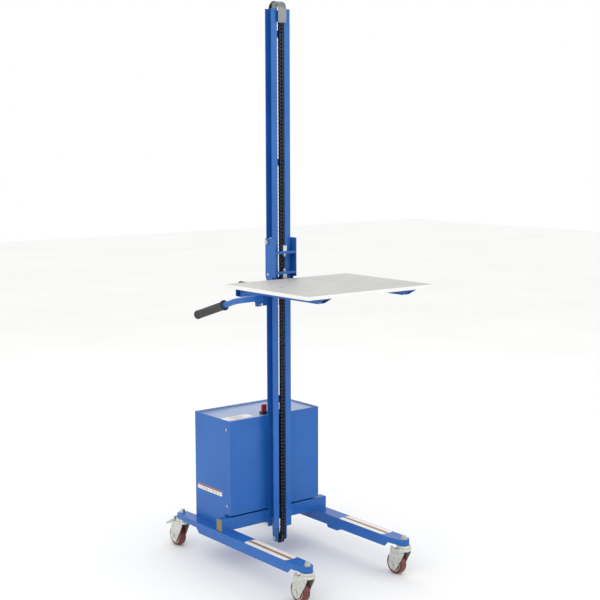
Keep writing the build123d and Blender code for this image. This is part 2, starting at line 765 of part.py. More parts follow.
def stem_nut(x, y):
    """The flanged nut that holds a caster's stem in the leg."""
    nut = hex_z(LEG_TOP, LEG_TOP + 10, x, y, 19) + rod_z(LEG_TOP, LEG_TOP + 1.6, x, y, 13)
    return nut - rod_z(LEG_TOP - 1, LEG_TOP + 11, x, y, STEM_R + SHAFT_GAP)


def caster_fork(x, y):
    """The swivelling fork and its axle bolt, trailing towards +Y."""
    crown = rod_z(crown_bottom, crown_top, 0, 0, CAP_D / 2 + 1)
    crown = fillet(crown.edges().sort_by(Axis.Z)[-1], 3)
    crown += block(-fork_out, fork_out, -18, CROWN_REACH, crown_bottom, crown_bottom + FORK_PLATE)
    crown -= rod_z(crown_bottom - 1, crown_top + 1, 0, 0, STEM_R + SHAFT_GAP)
    fork = crown
    eye = (CASTER_TRAIL, wheel_r, FORK_EYE_R)
    for side in (-1, 1):
        x0, x1 = sorted((side * fork_in, side * fork_out))
        leg = tapered_link(x0, x1, (-18, CASTER_TRAIL + 12, crown_bottom - 8, crown_bottom + FORK_PLATE), eye)
        leg += block(x0, x1, PEDAL_PIVOT[0] - 7, PEDAL_PIVOT[0] + 6, crown_bottom, PEDAL_PIVOT[1] + 7)
        leg -= rod_x(x0 - 1, x1 + 1, CASTER_TRAIL, wheel_r, WHEEL_AXLE_R + SHAFT_GAP)
        leg -= rod_x(x0 - 1, x1 + 1, PEDAL_PIVOT[0], PEDAL_PIVOT[1], PEDAL_PIN_R + SHAFT_GAP)
        fork += leg
    axle = rod_x(-fork_out - 1, fork_out + 7, CASTER_TRAIL, wheel_r, WHEEL_AXLE_R)
    axle += hex_x(-fork_out, -fork_out - 5, CASTER_TRAIL, wheel_r, 13)
    axle += hex_x(fork_out, fork_out + 6, CASTER_TRAIL, wheel_r, 13)
    return [Pos(x, y, 0) * fork, Pos(x, y, 0) * axle]


def caster_wheel(x, y):
    """A caster's tyre and its core, as two solids about the axle."""
    half = WHEEL_WIDTH / 2
    rim_r = wheel_r - TYRE_DEPTH
    tyre = rod_x(-half, half, 0, 0, wheel_r)
    tyre = fillet(tyre.edges().filter_by(GeomType.CIRCLE), 5)
    tyre -= rod_x(-half - 1, half + 1, 0, 0, rim_r)
    core = rod_x(-half + 2, half - 2, 0, 0, rim_r) + rod_x(-half - 1.5, half + 1.5, 0, 0, 12)
    core -= rod_x(-half - 3, half + 3, 0, 0, WHEEL_AXLE_R + SHAFT_GAP)
    place = Pos(x, y + CASTER_TRAIL, wheel_r)
    return [place * tyre, place * core]


def brake_pedal(x, y):
    """The brake lever of a rear caster: a bent strip on a pin, with a release tab."""
    y_pin, z_pin = PEDAL_PIVOT
    y_tip, z_tip = PEDAL_TIP
    strip = [
        (y_pin - 5, z_pin + 4),
        (y_pin + 16, z_pin + 4),
        (y_tip, z_tip + 3),
        (y_tip - 2, z_tip),
        (y_pin + 14.5, z_pin + 1),
        (y_pin - 5, z_pin + 1),
    ]
    half = fork_in - 0.6
    lever = side_plate(strip, -PEDAL_WIDTH / 2, PEDAL_WIDTH / 2)
    lever += block(-8, 8, y_pin + 6, y_pin + 9, z_pin + 2, z_pin + 15)
    lever += rod_x(-half, half, y_pin, z_pin, 5)
    pin = rod_x(-fork_out - 1.5, fork_out + 1.5, y_pin, z_pin, PEDAL_PIN_R)
    return Pos(x, y, 0) * (lever + pin)


# ---- carriage ----
def carriage_side():
    """The right side plate of the carriage, with its rounded lower corner and front tongue."""
    tongue_rear = -4.0
    outline = [
        (CARRIAGE_FRONT, CARRIAGE_TOP),
        (CARRIAGE_REAR, CARRIAGE_TOP),
        (CARRIAGE_REAR, CARRIAGE_CORNER_Z),
        (tongue_rear, CARRIAGE_CORNER_Z),
        (tongue_rear, tube_bottom + 2),
        (TUBE_REAR, tube_bottom + 2),
        (TUBE_REAR, PLATFORM_TOP + 4),
        (CARRIAGE_FRONT, PLATFORM_TOP + 4),
    ]
    plate = side_plate(outline, plate_in, plate_out)
    corner = [
        edge
        for edge in plate.edges().filter_by(Axis.X)
        if abs(edge.center().Y - CARRIAGE_REAR) < 0.01 and edge.center().Z < CARRIAGE_CORNER_Z + 1
    ]
    plate = fillet(corner, 14)
    for z in (UPPER_ROLLER_Z, LOWER_ROLLER_Z):
        plate -= rod_x(plate_in - 1, plate_out + 1, 0, z, AXLE_R + SHAFT_GAP)
    return plate


def carriage_crossbar(z):
    """A flat bar across the front of the mast, between the side plates, with a stud hole."""
    low = z - BAR_HEIGHT / 2
    bar = block(-plate_in, plate_in, CARRIAGE_FRONT, TUBE_REAR, low, low + BAR_HEIGHT)
    return bar - rod_z(low - 1, low + BAR_HEIGHT + 1, 0, ANCHOR_Y, ANCHOR_R + SHAFT_GAP)


ANCHOR_Y = -34.0
ANCHOR_R = 3.0


def chain_anchor(z, up):
    """A chain anchor: a stud and nut through a crossbar, and the block that grips the chain."""
    edge = z + up * BAR_HEIGHT / 2
    far = z - up * BAR_HEIGHT / 2
    stud = rod_z(*sorted((far - up * 11, edge + up * 8)), 0, ANCHOR_Y, ANCHOR_R)
    low, high = sorted((far, far - up * 6))
    nut = hex_z(low, high, 0, ANCHOR_Y, 10)
    low, high = sorted((edge, edge + up * 20))
    chain_front = -pitch_r - CHAIN_HEIGHT / 2
    block_rear = chain_front - RUN_GAP
    grip = block(-8, 8, ANCHOR_Y - 5, block_rear, low, high)
    return stud + nut + grip


def roller_axle(z, head):
    """A shouldered bolt that carries a guide roller on the right side plate."""
    inner = web_x + 2.2
    shank = rod_x(inner, plate_out, 0, z, AXLE_R)
    shoulder = rod_x(flange_x - 3.5, plate_in, 0, z, 8)
    axle = shank + shoulder
    if head:
        axle += hex_x(plate_out, plate_out + 7, 0, z, 15)
    return axle


def guide_roller(z):
    """A nylon roller that runs between the flanges of the right channel."""
    x1 = flange_x - 3.5 - RUN_GAP
    x0 = x1 - ROLLER_WIDTH
    roller = rod_x(x0, x1, 0, z, guide_r)
    roller = chamfer(roller.edges().filter_by(GeomType.CIRCLE), 0.8)
    return roller - rod_x(x0 - 1, x1 + 1, 0, z, AXLE_R + SHAFT_GAP)


def support_tube():
    """The rectangular tube under the platform's rear edge, open at both ends."""
    half = TUBE_LENGTH / 2
    outer = block(-half, half, tube_front, TUBE_REAR, tube_bottom, platform_bottom)
    outer = fillet(outer.edges().filter_by(Axis.X), TUBE_WALL)
    wall = TUBE_WALL
    return outer - block(
        -half - 1,
        half + 1,
        tube_front + wall,
        TUBE_REAR - wall,
        tube_bottom + wall,
        platform_bottom - wall,
    )


def fork_arm():
    """The right support arm: a square tube under the platform with a slanted open nose."""
    low = platform_bottom - ARM_HEIGHT
    x0 = ARM_OFFSET - ARM_WIDTH / 2
    x1 = ARM_OFFSET + ARM_WIDTH / 2
    outline = [
        (tube_front, low),
        (-ARM_REACH + ARM_NOSE_CUT, low),
        (-ARM_REACH, platform_bottom - 3),
        (-ARM_REACH, platform_bottom),
        (tube_front, platform_bottom),
    ]
    arm = side_plate(outline, x0, x1)
    wall = ARM_WALL
    arm -= block(
        x0 + wall,
        x1 - wall,
        -ARM_REACH - 1,
        tube_front - wall,
        low + wall,
        platform_bottom - wall,
    )
    for y in screw_rows:
        arm -= rod_z(platform_bottom - wall - 1, platform_bottom + 1, ARM_OFFSET, y, SCREW_R + SHAFT_GAP)
    return arm


screw_rows = [PLATFORM_REAR - share * PLATFORM_DEPTH for share in (0.18, 0.45, 0.72)]


def platform_board():
    """The flat platform with softened edges and countersunk screw holes."""
    half = PLATFORM_WIDTH / 2
    board = block(-half, half, platform_front, PLATFORM_REAR, platform_bottom, PLATFORM_TOP)
    board = fillet(board.edges().filter_by(Axis.Z), PLATFORM_CORNER)
    board = fillet(board.faces().sort_by(Axis.Z)[-1].edges(), 2)
    for x in (-ARM_OFFSET, ARM_OFFSET):
        for y in screw_rows:
            board -= rod_z(platform_bottom - 1, PLATFORM_TOP + 1, x, y, SCREW_R + SHAFT_GAP)
            cone = Cone(SCREW_R + SHAFT_GAP, 5.2, 2.7, align=(Align.CENTER, Align.CENTER, Align.MAX))
            board -= Pos(x, y, PLATFORM_TOP + 0.05) * cone
    return board


def platform_screws():
    """Six countersunk screws that hold the platform on the arms."""
    screws = []
    for x in (-ARM_OFFSET, ARM_OFFSET):
        for y in screw_rows:
            shank = rod_z(platform_bottom - ARM_WALL - 6, PLATFORM_TOP - 2, x, y, SCREW_R)
            cone = Cone(SCREW_R, 5.0, 2.5, align=(Align.CENTER, Align.CENTER, Align.MAX))
            screws.append(shank + Pos(x, y, PLATFORM_TOP - 0.1) * cone)
    return screws


# ---- handles ----
def handle_route():
    """The left handle's centre line: out from the clamp, round a bend and back, sloping down."""
    x = -HANDLE_OFFSET
    y = HANDLE_PIVOT_Y
    z = HANDLE_PIVOT_Z
    points = [
        (-CLAMP_IN + 6, y, z),
        (x, y, z),
        (x, y + HANDLE_ELBOW[0], z + HANDLE_ELBOW[1]),
        (x, y + HANDLE_END[0], z + HANDLE_END[1]),
    ]
    return FilletPolyline(*points, radius=[HANDLE_BEND_R, HANDLE_SWEEP_R])


def handle_tube():
    """The left handle's bent tube."""
    route = handle_route()
    section = Plane(origin=route @ 0, z_dir=route % 0)
    radius = HANDLE_TUBE_D / 2
    outer = sweep(section * Circle(radius), path=route)
    inner = sweep(section * Circle(radius - HANDLE_TUBE_WALL), path=route)
    return outer - inner


def handle_grip():
    """The left handle's rubber grip, with an inner flange and a closed end."""
    slope = math.atan2(HANDLE_END[1] - HANDLE_ELBOW[1], HANDLE_END[0] - HANDLE_ELBOW[0])
    end = (-HANDLE_OFFSET, HANDLE_PIVOT_Y + HANDLE_END[0], HANDLE_PIVOT_Z + HANDLE_END[1])
    cap = 4.0
    bore_r = HANDLE_TUBE_D / 2 + SHAFT_GAP
    profile = [
        (0, cap),
        (GRIP_D / 2 - 2, cap),
        (GRIP_D / 2, cap - 2),
        (GRIP_D / 2, cap - GRIP_LENGTH + 5),
        (GRIP_FLANGE_D / 2, cap - GRIP_LENGTH + 4),
        (GRIP_FLANGE_D / 2, cap - GRIP_LENGTH),
        (bore_r, cap - GRIP_LENGTH),
        (bore_r, SHAFT_GAP),
        (0, SHAFT_GAP),
    ]
    grip = revolve(Plane.XZ * make_face(Polyline(*profile, close=True)), Axis.Z)
    direction = (0, math.cos(slope), math.sin(slope))
    return Plane(origin=end, x_dir=(1, 0, 0), z_dir=direction).location * grip


def handle_bracket():
    """The left clamp: a plate on the mast's rear flange and a split barrel round the tube."""
    y = HANDLE_PIVOT_Y
    z = HANDLE_PIVOT_Z
    barrel = rod_x(-clamp_out, -CLAMP_IN + 4, y, z, CLAMP_D / 2)
    web = block(-CLAMP_IN - 12, -CLAMP_IN + 4, rear_y, y, z - CLAMP_D / 2, z + CLAMP_D / 2)
    plate = block(-CLAMP_IN - 12, -slot - 3, rear_y, rear_y + 4, z - 26, z + 22)
    ears = block(-clamp_out, -clamp_out + 20, y - 6, y + 6, z - CLAMP_D / 2 - 12, z)
    bracket = barrel + web + plate + ears
    bore = rod_x(-clamp_out - 1, -CLAMP_IN + 6, y, z, HANDLE_TUBE_D / 2 + SHAFT_GAP)
    bracket -= bore
    bracket -= block(-clamp_out - 1, -clamp_out + 21, y - 1, y + 1, z - CLAMP_D, z)
    bolt_z = z - CLAMP_D / 2 - 5.5
    return bracket - rod_y(y - 8, y + 8, -clamp_out + 10, bolt_z, 3 + SHAFT_GAP)


def handle_bolts():
    """The clamp's pinch bolt and the two bolts in its plate, on the left side."""
    y = HANDLE_PIVOT_Y
    bolt_z = HANDLE_PIVOT_Z - CLAMP_D / 2 - 5.5
    x = -clamp_out + 10
    pinch = rod_y(y - 10, y + 8, x, bolt_z, 3)
    pinch += Pos(x, y - 6, bolt_z) * Rot(90, 0, 0) * hexagon(10, 4)
    pinch += Pos(x, y + 6, bolt_z) * Rot(-90, 0, 0) * hexagon(10, 5)
    plate_bolts = [
        Pos(-slot - 12, rear_y + 4, HANDLE_PIVOT_Z + dz) * Rot(-90, 0, 0) * hexagon(10, 4)
        for dz in (-19, 15)
    ]
    return [pinch] + plate_bolts


def handle_side(shape, right):
    """A left-hand handle piece, or its mirror image tilted up on the right-hand side."""
    if not right:
        return shape
    lift = Pos(0, HANDLE_PIVOT_Y, HANDLE_PIVOT_Z) * Rot(RIGHT_HANDLE_TILT, 0, 0)
    return lift * Pos(0, -HANDLE_PIVOT_Y, -HANDLE_PIVOT_Z) * mirrored(shape)


# ---- all nodes ----
def all_nodes():
    """Every node's name with its list of solids, about the mast's centre line."""
    nodes = {}
    channel = mast_channel()
    nodes["mast_channel_right"] = [channel]
    nodes["mast_channel_left"] = [mirrored(channel)]
    nodes["mast_spacers"] = mast_spacers()
    nodes["mast_mounts"] = mast_mounts()
    nodes["top_cap"] = [top_cap()]
    nodes["top_sprocket"] = [chain_wheel(top_z, slot - CHEEK_WALL - 0.6)]
    nodes["bottom_sprocket"] = [chain_wheel(bottom_z, 13.0)]
    nodes["sprocket_axles"] = [top_axle(), bottom_axle()]
    nodes["bottom_bracket_plates"] = pair(bottom_bracket())
    nodes["lift_chain"] = [lift_chain()]

    nodes["chain_guide_roller_upper"] = [guide_drum(upper_idler_z)]
    nodes["chain_guide_roller_lower"] = [guide_drum(lower_idler_z)]
    nodes["drive_brackets"] = [idler_bracket(), motor_mount()]
    nodes["drive_sprocket"] = [drive_sprocket()]
    nodes["gearbox"] = [gearbox()]
    nodes["drive_motor"] = [drive_motor()]
    nodes["battery"] = [battery()]
    nodes["motor_controller"] = [controller()]

    nodes["cabinet_shell"] = [cabinet_shell()]
    nodes["cabinet_rear_cover"] = [cabinet_rear_panel()]
    nodes["cabinet_tray"] = [cabinet_tray()]
    nodes["cabinet_screws"] = cabinet_screws()
    nodes["switch_bases"] = switch_bases()
    nodes["power_switch_lever"] = [switch_lever(POWER_SWITCH_X, 9.0, 5.0, 27.0)]
    nodes["lift_switch_lever"] = [switch_lever(LIFT_SWITCH_X, 5.0, 3.0, 18.0)]

    leg = base_leg()
    nodes["base_leg_right"] = [leg]
    nodes["base_leg_left"] = [mirrored(leg)]
    nodes["base_crossbar"] = [base_crossbar()]
    nodes["crossbar_end_plugs"] = pair(crossbar_plug())

    spots = stem_spots.items()
    nodes["caster_heads"] = [caster_head(*spot) for _, spot in spots]
    nodes["caster_stem_nuts"] = [stem_nut(*spot) for _, spot in spots]
    for corner, spot in spots:
        nodes[f"caster_fork_{corner}"] = caster_fork(*spot)
        nodes[f"caster_wheel_{corner}"] = caster_wheel(*spot)
        if corner.startswith("r"):
            nodes[f"brake_pedal_{corner}"] = [brake_pedal(*spot)]

    plate = carriage_side()
    nodes["carriage_side_plates"] = pair(plate)
    nodes["carriage_crossbars"] = [carriage_crossbar(z) for z in (UPPER_BAR_Z, LOWER_BAR_Z)]
    nodes["chain_anchors"] = [chain_anchor(UPPER_BAR_Z, 1), chain_anchor(LOWER_BAR_Z, -1)]
    axles = [roller_axle(UPPER_ROLLER_Z, True), roller_axle(LOWER_ROLLER_Z, False)]
    nodes["roller_axles"] = [solid for axle in axles for solid in pair(axle)]
    for level, z in (("upper", UPPER_ROLLER_Z), ("lower", LOWER_ROLLER_Z)):
        roller = guide_roller(z)
        nodes[f"mast_roller_{level}_right"] = [roller]
        nodes[f"mast_roller_{level}_left"] = [mirrored(roller)]
    nodes["support_tube"] = [support_tube()]
    arm = fork_arm()
    nodes["platform_arm_right"] = [arm]
    nodes["platform_arm_left"] = [mirrored(arm)]
    nodes["platform_board"] = [platform_board()]
    nodes["platform_screws"] = platform_screws()

    nodes["handle_clamps"] = pair(handle_bracket())
    clamp_bolts = [solid for bolt in handle_bolts() for solid in pair(bolt)]
    nodes["frame_bolts"] = bracket_bolts() + clamp_bolts
    tube = handle_tube()
    grip = handle_grip()
    for side, right in (("left", False), ("right", True)):
        nodes[f"handle_tube_{side}"] = [handle_side(tube, right)]
        nodes[f"handle_grip_{side}"] = [handle_side(grip, right)]
    return nodes


def write_nodes():
    """Writes one STEP file per node, moved so that the origin is under the object's middle."""
    os.makedirs("parts", exist_ok=True)
    for name, pieces in all_nodes().items():
        placed = [Pos(0, MAST_SETBACK, 0) * solid for solid in solids_of(pieces)]
        for solid, number in zip(placed, range(len(placed))):
            solid.label = f"{name}_{number + 1}"
        shape = Compound(label=name, children=placed) if len(placed) > 1 else placed[0]
        export_step(shape, f"parts/{name}.step")


write_nodes()
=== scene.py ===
import json
import logging
import math
from dataclasses import dataclass, field
from enum import Enum

import bmesh
import bpy
import numpy as np
from mathutils import Matrix, Vector


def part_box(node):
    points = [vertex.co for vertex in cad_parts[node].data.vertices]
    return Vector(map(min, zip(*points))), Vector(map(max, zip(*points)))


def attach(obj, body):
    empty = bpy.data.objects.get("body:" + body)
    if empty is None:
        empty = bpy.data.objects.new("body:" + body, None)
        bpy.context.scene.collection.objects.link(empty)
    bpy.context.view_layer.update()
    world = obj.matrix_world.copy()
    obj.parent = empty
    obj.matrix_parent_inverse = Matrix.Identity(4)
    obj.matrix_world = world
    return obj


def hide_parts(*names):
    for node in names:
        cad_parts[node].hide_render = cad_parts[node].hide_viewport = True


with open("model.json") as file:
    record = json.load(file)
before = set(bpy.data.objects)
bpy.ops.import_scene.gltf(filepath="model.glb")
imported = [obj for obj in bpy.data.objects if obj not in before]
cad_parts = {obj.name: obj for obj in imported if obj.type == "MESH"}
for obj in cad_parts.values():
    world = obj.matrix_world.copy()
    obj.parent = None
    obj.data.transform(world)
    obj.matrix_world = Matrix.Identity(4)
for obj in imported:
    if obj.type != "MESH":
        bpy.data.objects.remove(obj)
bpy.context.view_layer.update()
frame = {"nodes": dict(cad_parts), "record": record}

MM = 0.001
TAU = 2 * math.pi
log = logging.getLogger("mast_lift")

BODY_OF = {
    node: body
    for body, members in frame["record"]["behaviour"]["bodies"].items()
    for node in members
}


# ---------------------------------------------------------------- finishes


def linear(code: str) -> tuple[float, float, float, float]:
    """Turns an sRGB hex colour into linear RGBA.

    Args:
        code: six hex digits, with or without a leading #.

    Returns:
        Linear red, green and blue with an alpha of 1.
    """
    digits = code.lstrip("#")
    values = np.array([int(digits[i : i + 2], 16) for i in (0, 2, 4)]) / 255
    light = np.where(values <= 0.04045, values / 12.92, ((values + 0.055) / 1.055) ** 2.4)
    return (*light.tolist(), 1.0)


def add_node(tree: bpy.types.NodeTree, kind: str, settings: dict | None = None, **links) -> bpy.types.Node:
    """Adds one node to a tree.

    Args:
        tree: the node tree.
        kind: the node's type, such as ShaderNodeBump.
        settings: attribute names or input socket names, each with its value.
        links: input socket names with _ for a space, each with an output socket to link from.

    Returns:
        The new node.
    """
    node = tree.nodes.new(kind)
    for key, value in (settings or {}).items():
        if hasattr(node, key) and key not in node.inputs:
            setattr(node, key, value)
        else:
            node.inputs[key].default_value = value
    for key, socket in links.items():
        tree.links.new(socket, node.inputs[key.replace("_", " ")])
    return node


class Grain(Enum):
    """The kinds of surface pattern that the finishes use."""

    CLOUD = "soft blotches, as in a film of paint"
    CELLS = "crystal cells, as in zinc"
    STREAK = "fine parallel lines, as from brushing or drawing"


@dataclass(frozen=True)
class Finish:
    """A finish: two close tones, a varying gloss and a fine relief, each at a real size in mm."""

    name: str
    colour: str
    second: str
    tone_grain: Grain = Grain.CLOUD
    tone_mm: float = 60.0
    gloss: tuple[float, float] = (0.30, 0.42)
    gloss_mm: float = 35.0
    relief_grain: Grain = Grain.CLOUD
    relief_mm: float = 2.0
    relief_depth_mm: float = 0.02
    stretch: tuple[float, float, float] = (1.0, 1.0, 1.0)
    shader: dict = field(default_factory=dict)

    def texture(
        self, tree: bpy.types.NodeTree, place: bpy.types.NodeSocket, grain: Grain, size: float
    ) -> bpy.types.NodeSocket:
        """Adds one pattern texture.

        Args:
            tree: the material's node tree.
            place: the coordinates, in metres.
            grain: the kind of pattern.
            size: the pattern's size in mm.

        Returns:
            A grey output socket from 0 to 1.
        """
        scale = 1 / (size * MM)
        if grain is Grain.CELLS:
            cells = add_node(tree, "ShaderNodeTexVoronoi", {"Scale": scale, "Randomness": 1.0}, Vector=place)
            return cells.outputs["Color"]
        if grain is Grain.STREAK:
            along = add_node(tree, "ShaderNodeMapping", {"Scale": self.stretch}, Vector=place)
            streaks = {"Scale": scale, "Detail": 4.0}
            lines = add_node(tree, "ShaderNodeTexNoise", streaks, Vector=along.outputs[0])
            return lines.outputs["Fac"]
        mottle = {"Scale": scale, "Detail": 3.0, "Roughness": 0.55}
        cloud = add_node(tree, "ShaderNodeTexNoise", mottle, Vector=place)
        return cloud.outputs["Fac"]

    def material(self) -> bpy.types.Material:
        """Builds the finish, or returns it where it exists already.

        Returns:
            The material, with the uniform values on the shader's own sockets.
        """
        found = bpy.data.materials.get(self.name)
        if found:
            return found
        made = bpy.data.materials.new(self.name)
        made.use_nodes = True
        tree = made.node_tree
        tree.nodes.clear()
        place = add_node(tree, "ShaderNodeTexCoord").outputs["Object"]
        tone = self.texture(tree, place, self.tone_grain, self.tone_mm)
        ends = {"From Min": 0.3, "From Max": 0.7, "To Min": 0.0, "To Max": 1.0}
        blend = add_node(tree, "ShaderNodeMapRange", ends, Value=tone)
        mix = add_node(tree, "ShaderNodeMix", {"data_type": "RGBA"})
        mix.inputs[6].default_value = linear(self.colour)
        mix.inputs[7].default_value = linear(self.second)
        tree.links.new(blend.outputs[0], mix.inputs[0])
        worn = self.texture(tree, place, Grain.CLOUD, self.gloss_mm)
        spread = {"From Min": 0.3, "From Max": 0.7, "To Min": self.gloss[0], "To Max": self.gloss[1]}
        rough = add_node(tree, "ShaderNodeMapRange", spread, Value=worn)
        height = self.texture(tree, place, self.relief_grain, self.relief_mm)
        bump = add_node(
            tree, "ShaderNodeBump", {"Strength": 1.0, "Distance": self.relief_depth_mm * MM}, Height=height
        )
        surface = add_node(
            tree,
            "ShaderNodeBsdfPrincipled",
            self.shader,
            Base_Color=mix.outputs[2],
            Roughness=rough.outputs[0],
            Normal=bump.outputs[0],
        )
        add_node(tree, "ShaderNodeOutputMaterial", None, Surface=surface.outputs[0])
        made.diffuse_color = linear(self.colour)
        return made


# Stoved enamel over steel: a thick glossy film with the faint ripple of sprayed paint.
BLUE_ENAMEL = Finish(
    "blue_stoved_enamel", "#1f5fae", "#2768b6", tone_mm=140, gloss=(0.30, 0.40), relief_mm=3.5,
    relief_depth_mm=0.03, shader={"IOR": 1.36, "Coat Weight": 0.12, "Coat Roughness": 0.14},
)
# The same blue enamel on the rolled tray, with its colour raised to a pale grey-blue as a painted reflection
# of the bright sky on its upward face; the paint itself is no paler.
TRAY_ENAMEL_PAINTED_REFLECTION = Finish(
    "tray_enamel_painted_reflection", "#7f98c2", "#8aa1c8", tone_mm=120, gloss=(0.30, 0.42), relief_mm=3.5,
    relief_depth_mm=0.03, shader={"IOR": 1.5, "Coat Weight": 0.2, "Coat Roughness": 0.15},
)
# Bright zinc plate: a metal film with a faint crystal mottle that dulls where it is handled.
ZINC_PLATE = Finish(
    "bright_zinc_plate", "#c9cbc8", "#b9bcba", tone_grain=Grain.CELLS, tone_mm=4, gloss=(0.24, 0.40),
    gloss_mm=12, relief_mm=0.8, relief_depth_mm=0.006, shader={"Metallic": 1.0},
)
# Pressed steel with a dull zinc coat, as on caster forks: soft highlights, slightly warm.
PRESSED_ZINC = Finish(
    "pressed_zinc_steel", "#d8d9d2", "#c6c8c0", tone_grain=Grain.CELLS, tone_mm=6, gloss=(0.34, 0.50),
    gloss_mm=14, relief_mm=1.5, relief_depth_mm=0.012, shader={"Metallic": 0.85},
)
# Rolled aluminium strip: fine drawing lines that run round the bend.
ROLLED_ALUMINIUM = Finish(
    "rolled_aluminium", "#8f9396", "#7c8084", tone_grain=Grain.STREAK, tone_mm=3, gloss=(0.32, 0.46),
    relief_grain=Grain.STREAK, relief_mm=0.9, relief_depth_mm=0.01, stretch=(1.0, 0.06, 0.06),
    shader={"Metallic": 1.0},
)
# Oiled chain steel: blackened plates with a wet film that gathers dust.
OILED_STEEL = Finish(
    "oiled_chain_steel", "#4b4c4d", "#343536", tone_mm=9, gloss=(0.30, 0.55), gloss_mm=7, relief_mm=0.9,
    relief_depth_mm=0.012, shader={"Metallic": 0.9},
)
# Cut sprocket steel, ground on the faces and darkened by oil.
SPROCKET_STEEL = Finish(
    "ground_sprocket_steel", "#6e6f70", "#585a5b", tone_mm=12, gloss=(0.28, 0.45), relief_grain=Grain.STREAK,
    relief_mm=0.7, relief_depth_mm=0.008, stretch=(0.1, 1.0, 1.0), shader={"Metallic": 1.0},
)
# Matt laminate: a pale film with a fine pebble, pressed on board.
LAMINATE = Finish(
    "matt_grey_laminate", "#c2c1be", "#bab9b6", tone_mm=90, gloss=(0.46, 0.58), gloss_mm=50, relief_mm=1.2,
    relief_depth_mm=0.02, shader={"IOR": 1.5},
)
# White edging strip, ironed round the board.
EDGE_BAND = Finish(
    "white_edge_banding", "#f1f0ee", "#e9e8e5", tone_mm=40, gloss=(0.35, 0.45), relief_mm=1.0,
    relief_depth_mm=0.01, shader={"IOR": 1.5},
)
# Cast polyurethane tread: dark red, slightly waxy.
POLYURETHANE = Finish(
    "cast_polyurethane", "#6e2a2a", "#5d2223", tone_mm=14, gloss=(0.28, 0.42), gloss_mm=10, relief_mm=1.4,
    relief_depth_mm=0.02, shader={"IOR": 1.5, "Coat Weight": 0.15, "Coat Roughness": 0.2},
)
# Moulded polypropylene core: chalky and warm.
WHEEL_CORE = Finish(
    "moulded_polypropylene", "#cdb9ab", "#c2ad9f", tone_mm=12, gloss=(0.38, 0.5), relief_mm=1.2,
    relief_depth_mm=0.015, shader={"IOR": 1.49},
)
# Vinyl grip: dull and slightly soft, with a fine pebble.
VINYL_GRIP = Finish(
    "dipped_vinyl", "#35363a", "#2b2c2f", tone_mm=18, gloss=(0.52, 0.66), gloss_mm=15, relief_mm=0.9,
    relief_depth_mm=0.03, shader={"IOR": 1.52},
)
# Machined nylon: milky, with light below the surface.
NYLON = Finish(
    "machined_nylon", "#dcd8cb", "#d2cdbf", tone_mm=15, gloss=(0.35, 0.48), relief_grain=Grain.STREAK,
    relief_mm=0.8, relief_depth_mm=0.01, stretch=(0.2, 1.0, 1.0),
    shader={"IOR": 1.53, "Subsurface Weight": 0.1, "Subsurface Radius": (0.002, 0.002, 0.002)},
)
# Moulded ABS: an even satin with a light spark texture.
BLACK_ABS = Finish(
    "moulded_black_abs", "#1d1e20", "#252629", tone_mm=30, gloss=(0.34, 0.46), relief_mm=0.7,
    relief_depth_mm=0.015, shader={"IOR": 1.53},
)
RED_ABS = Finish(
    "moulded_red_abs", "#b01e22", "#a3191d", tone_mm=12, gloss=(0.20, 0.30), gloss_mm=8, relief_mm=1.2,
    relief_depth_mm=0.01, shader={"IOR": 1.53, "Coat Weight": 0.2, "Coat Roughness": 0.1},
)
TAN_PLUG = Finish(
    "moulded_tan_polyethylene", "#847a55", "#7a704c", tone_mm=14, gloss=(0.45, 0.6), relief_mm=1.0,
    relief_depth_mm=0.02, shader={"IOR": 1.51},
)
# Hammered paint on the gearbox's castings.
HAMMER_PAINT = Finish(
    "hammered_grey_paint", "#6b7076", "#5f646a", tone_mm=8, gloss=(0.25, 0.35), relief_grain=Grain.CELLS,
    relief_mm=3.0, relief_depth_mm=0.05, shader={"IOR": 1.5, "Coat Weight": 0.3, "Coat Roughness": 0.1},
)
# Printed vinyl labels: a paper-flat film with a matt clear coat.
WHITE_LABEL = Finish(
    "white_label_vinyl", "#efece6", "#e6e2da", tone_mm=25, gloss=(0.38, 0.5), relief_mm=1.0,
    relief_depth_mm=0.006, shader={"IOR": 1.48},
)
TAN_LABEL = Finish(
    "tan_label_ink", "#a07a5c", "#96704f", tone_mm=25, gloss=(0.38, 0.5), relief_mm=1.0,
    relief_depth_mm=0.006, shader={"IOR": 1.48},
)
GREY_LABEL = Finish(
    "grey_label_ink", "#b9b3ab", "#aca69e", tone_mm=25, gloss=(0.38, 0.5), relief_mm=1.0,
    relief_depth_mm=0.006, shader={"IOR": 1.48},
)
# Studio floor paper: matt, white and even.
STUDIO_PAPER = Finish(
    "studio_paper", "#fbfbfa", "#f7f7f6", tone_mm=900, gloss=(0.8, 0.9), relief_mm=3,
    relief_depth_mm=0.01, shader={"IOR": 1.3},
)


# ---------------------------------------------------------------- surfaces


@dataclass
class Surface:
    """Points in metres with groups of faces, each group of one corner count and one finish number."""

    points: np.ndarray
    groups: list[tuple[np.ndarray, int]]

    def __add__(self, other: "Surface") -> "Surface":
        """Joins two surfaces into one."""
        shift = len(self.points)
        moved = [(faces + shift, paint) for faces, paint in other.groups]
        return Surface(np.vstack([self.points, other.points]), self.groups + moved)

    def placed(self, matrix: np.ndarray) -> "Surface":
        """The surface moved by a 4 by 4 matrix."""
        return Surface(self.points @ matrix[:3, :3].T + matrix[:3, 3], list(self.groups))

    def mirrored(self) -> "Surface":
        """The surface mirrored in x, with its faces turned back outwards."""
        flipped = [(faces[:, ::-1], paint) for faces, paint in self.groups]
        return Surface(self.points * np.array([-1.0, 1.0, 1.0]), flipped)

    def painted(self, paint: int) -> "Surface":
        """The surface with every face in one finish."""
        return Surface(self.points, [(faces, paint) for faces, _ in self.groups])


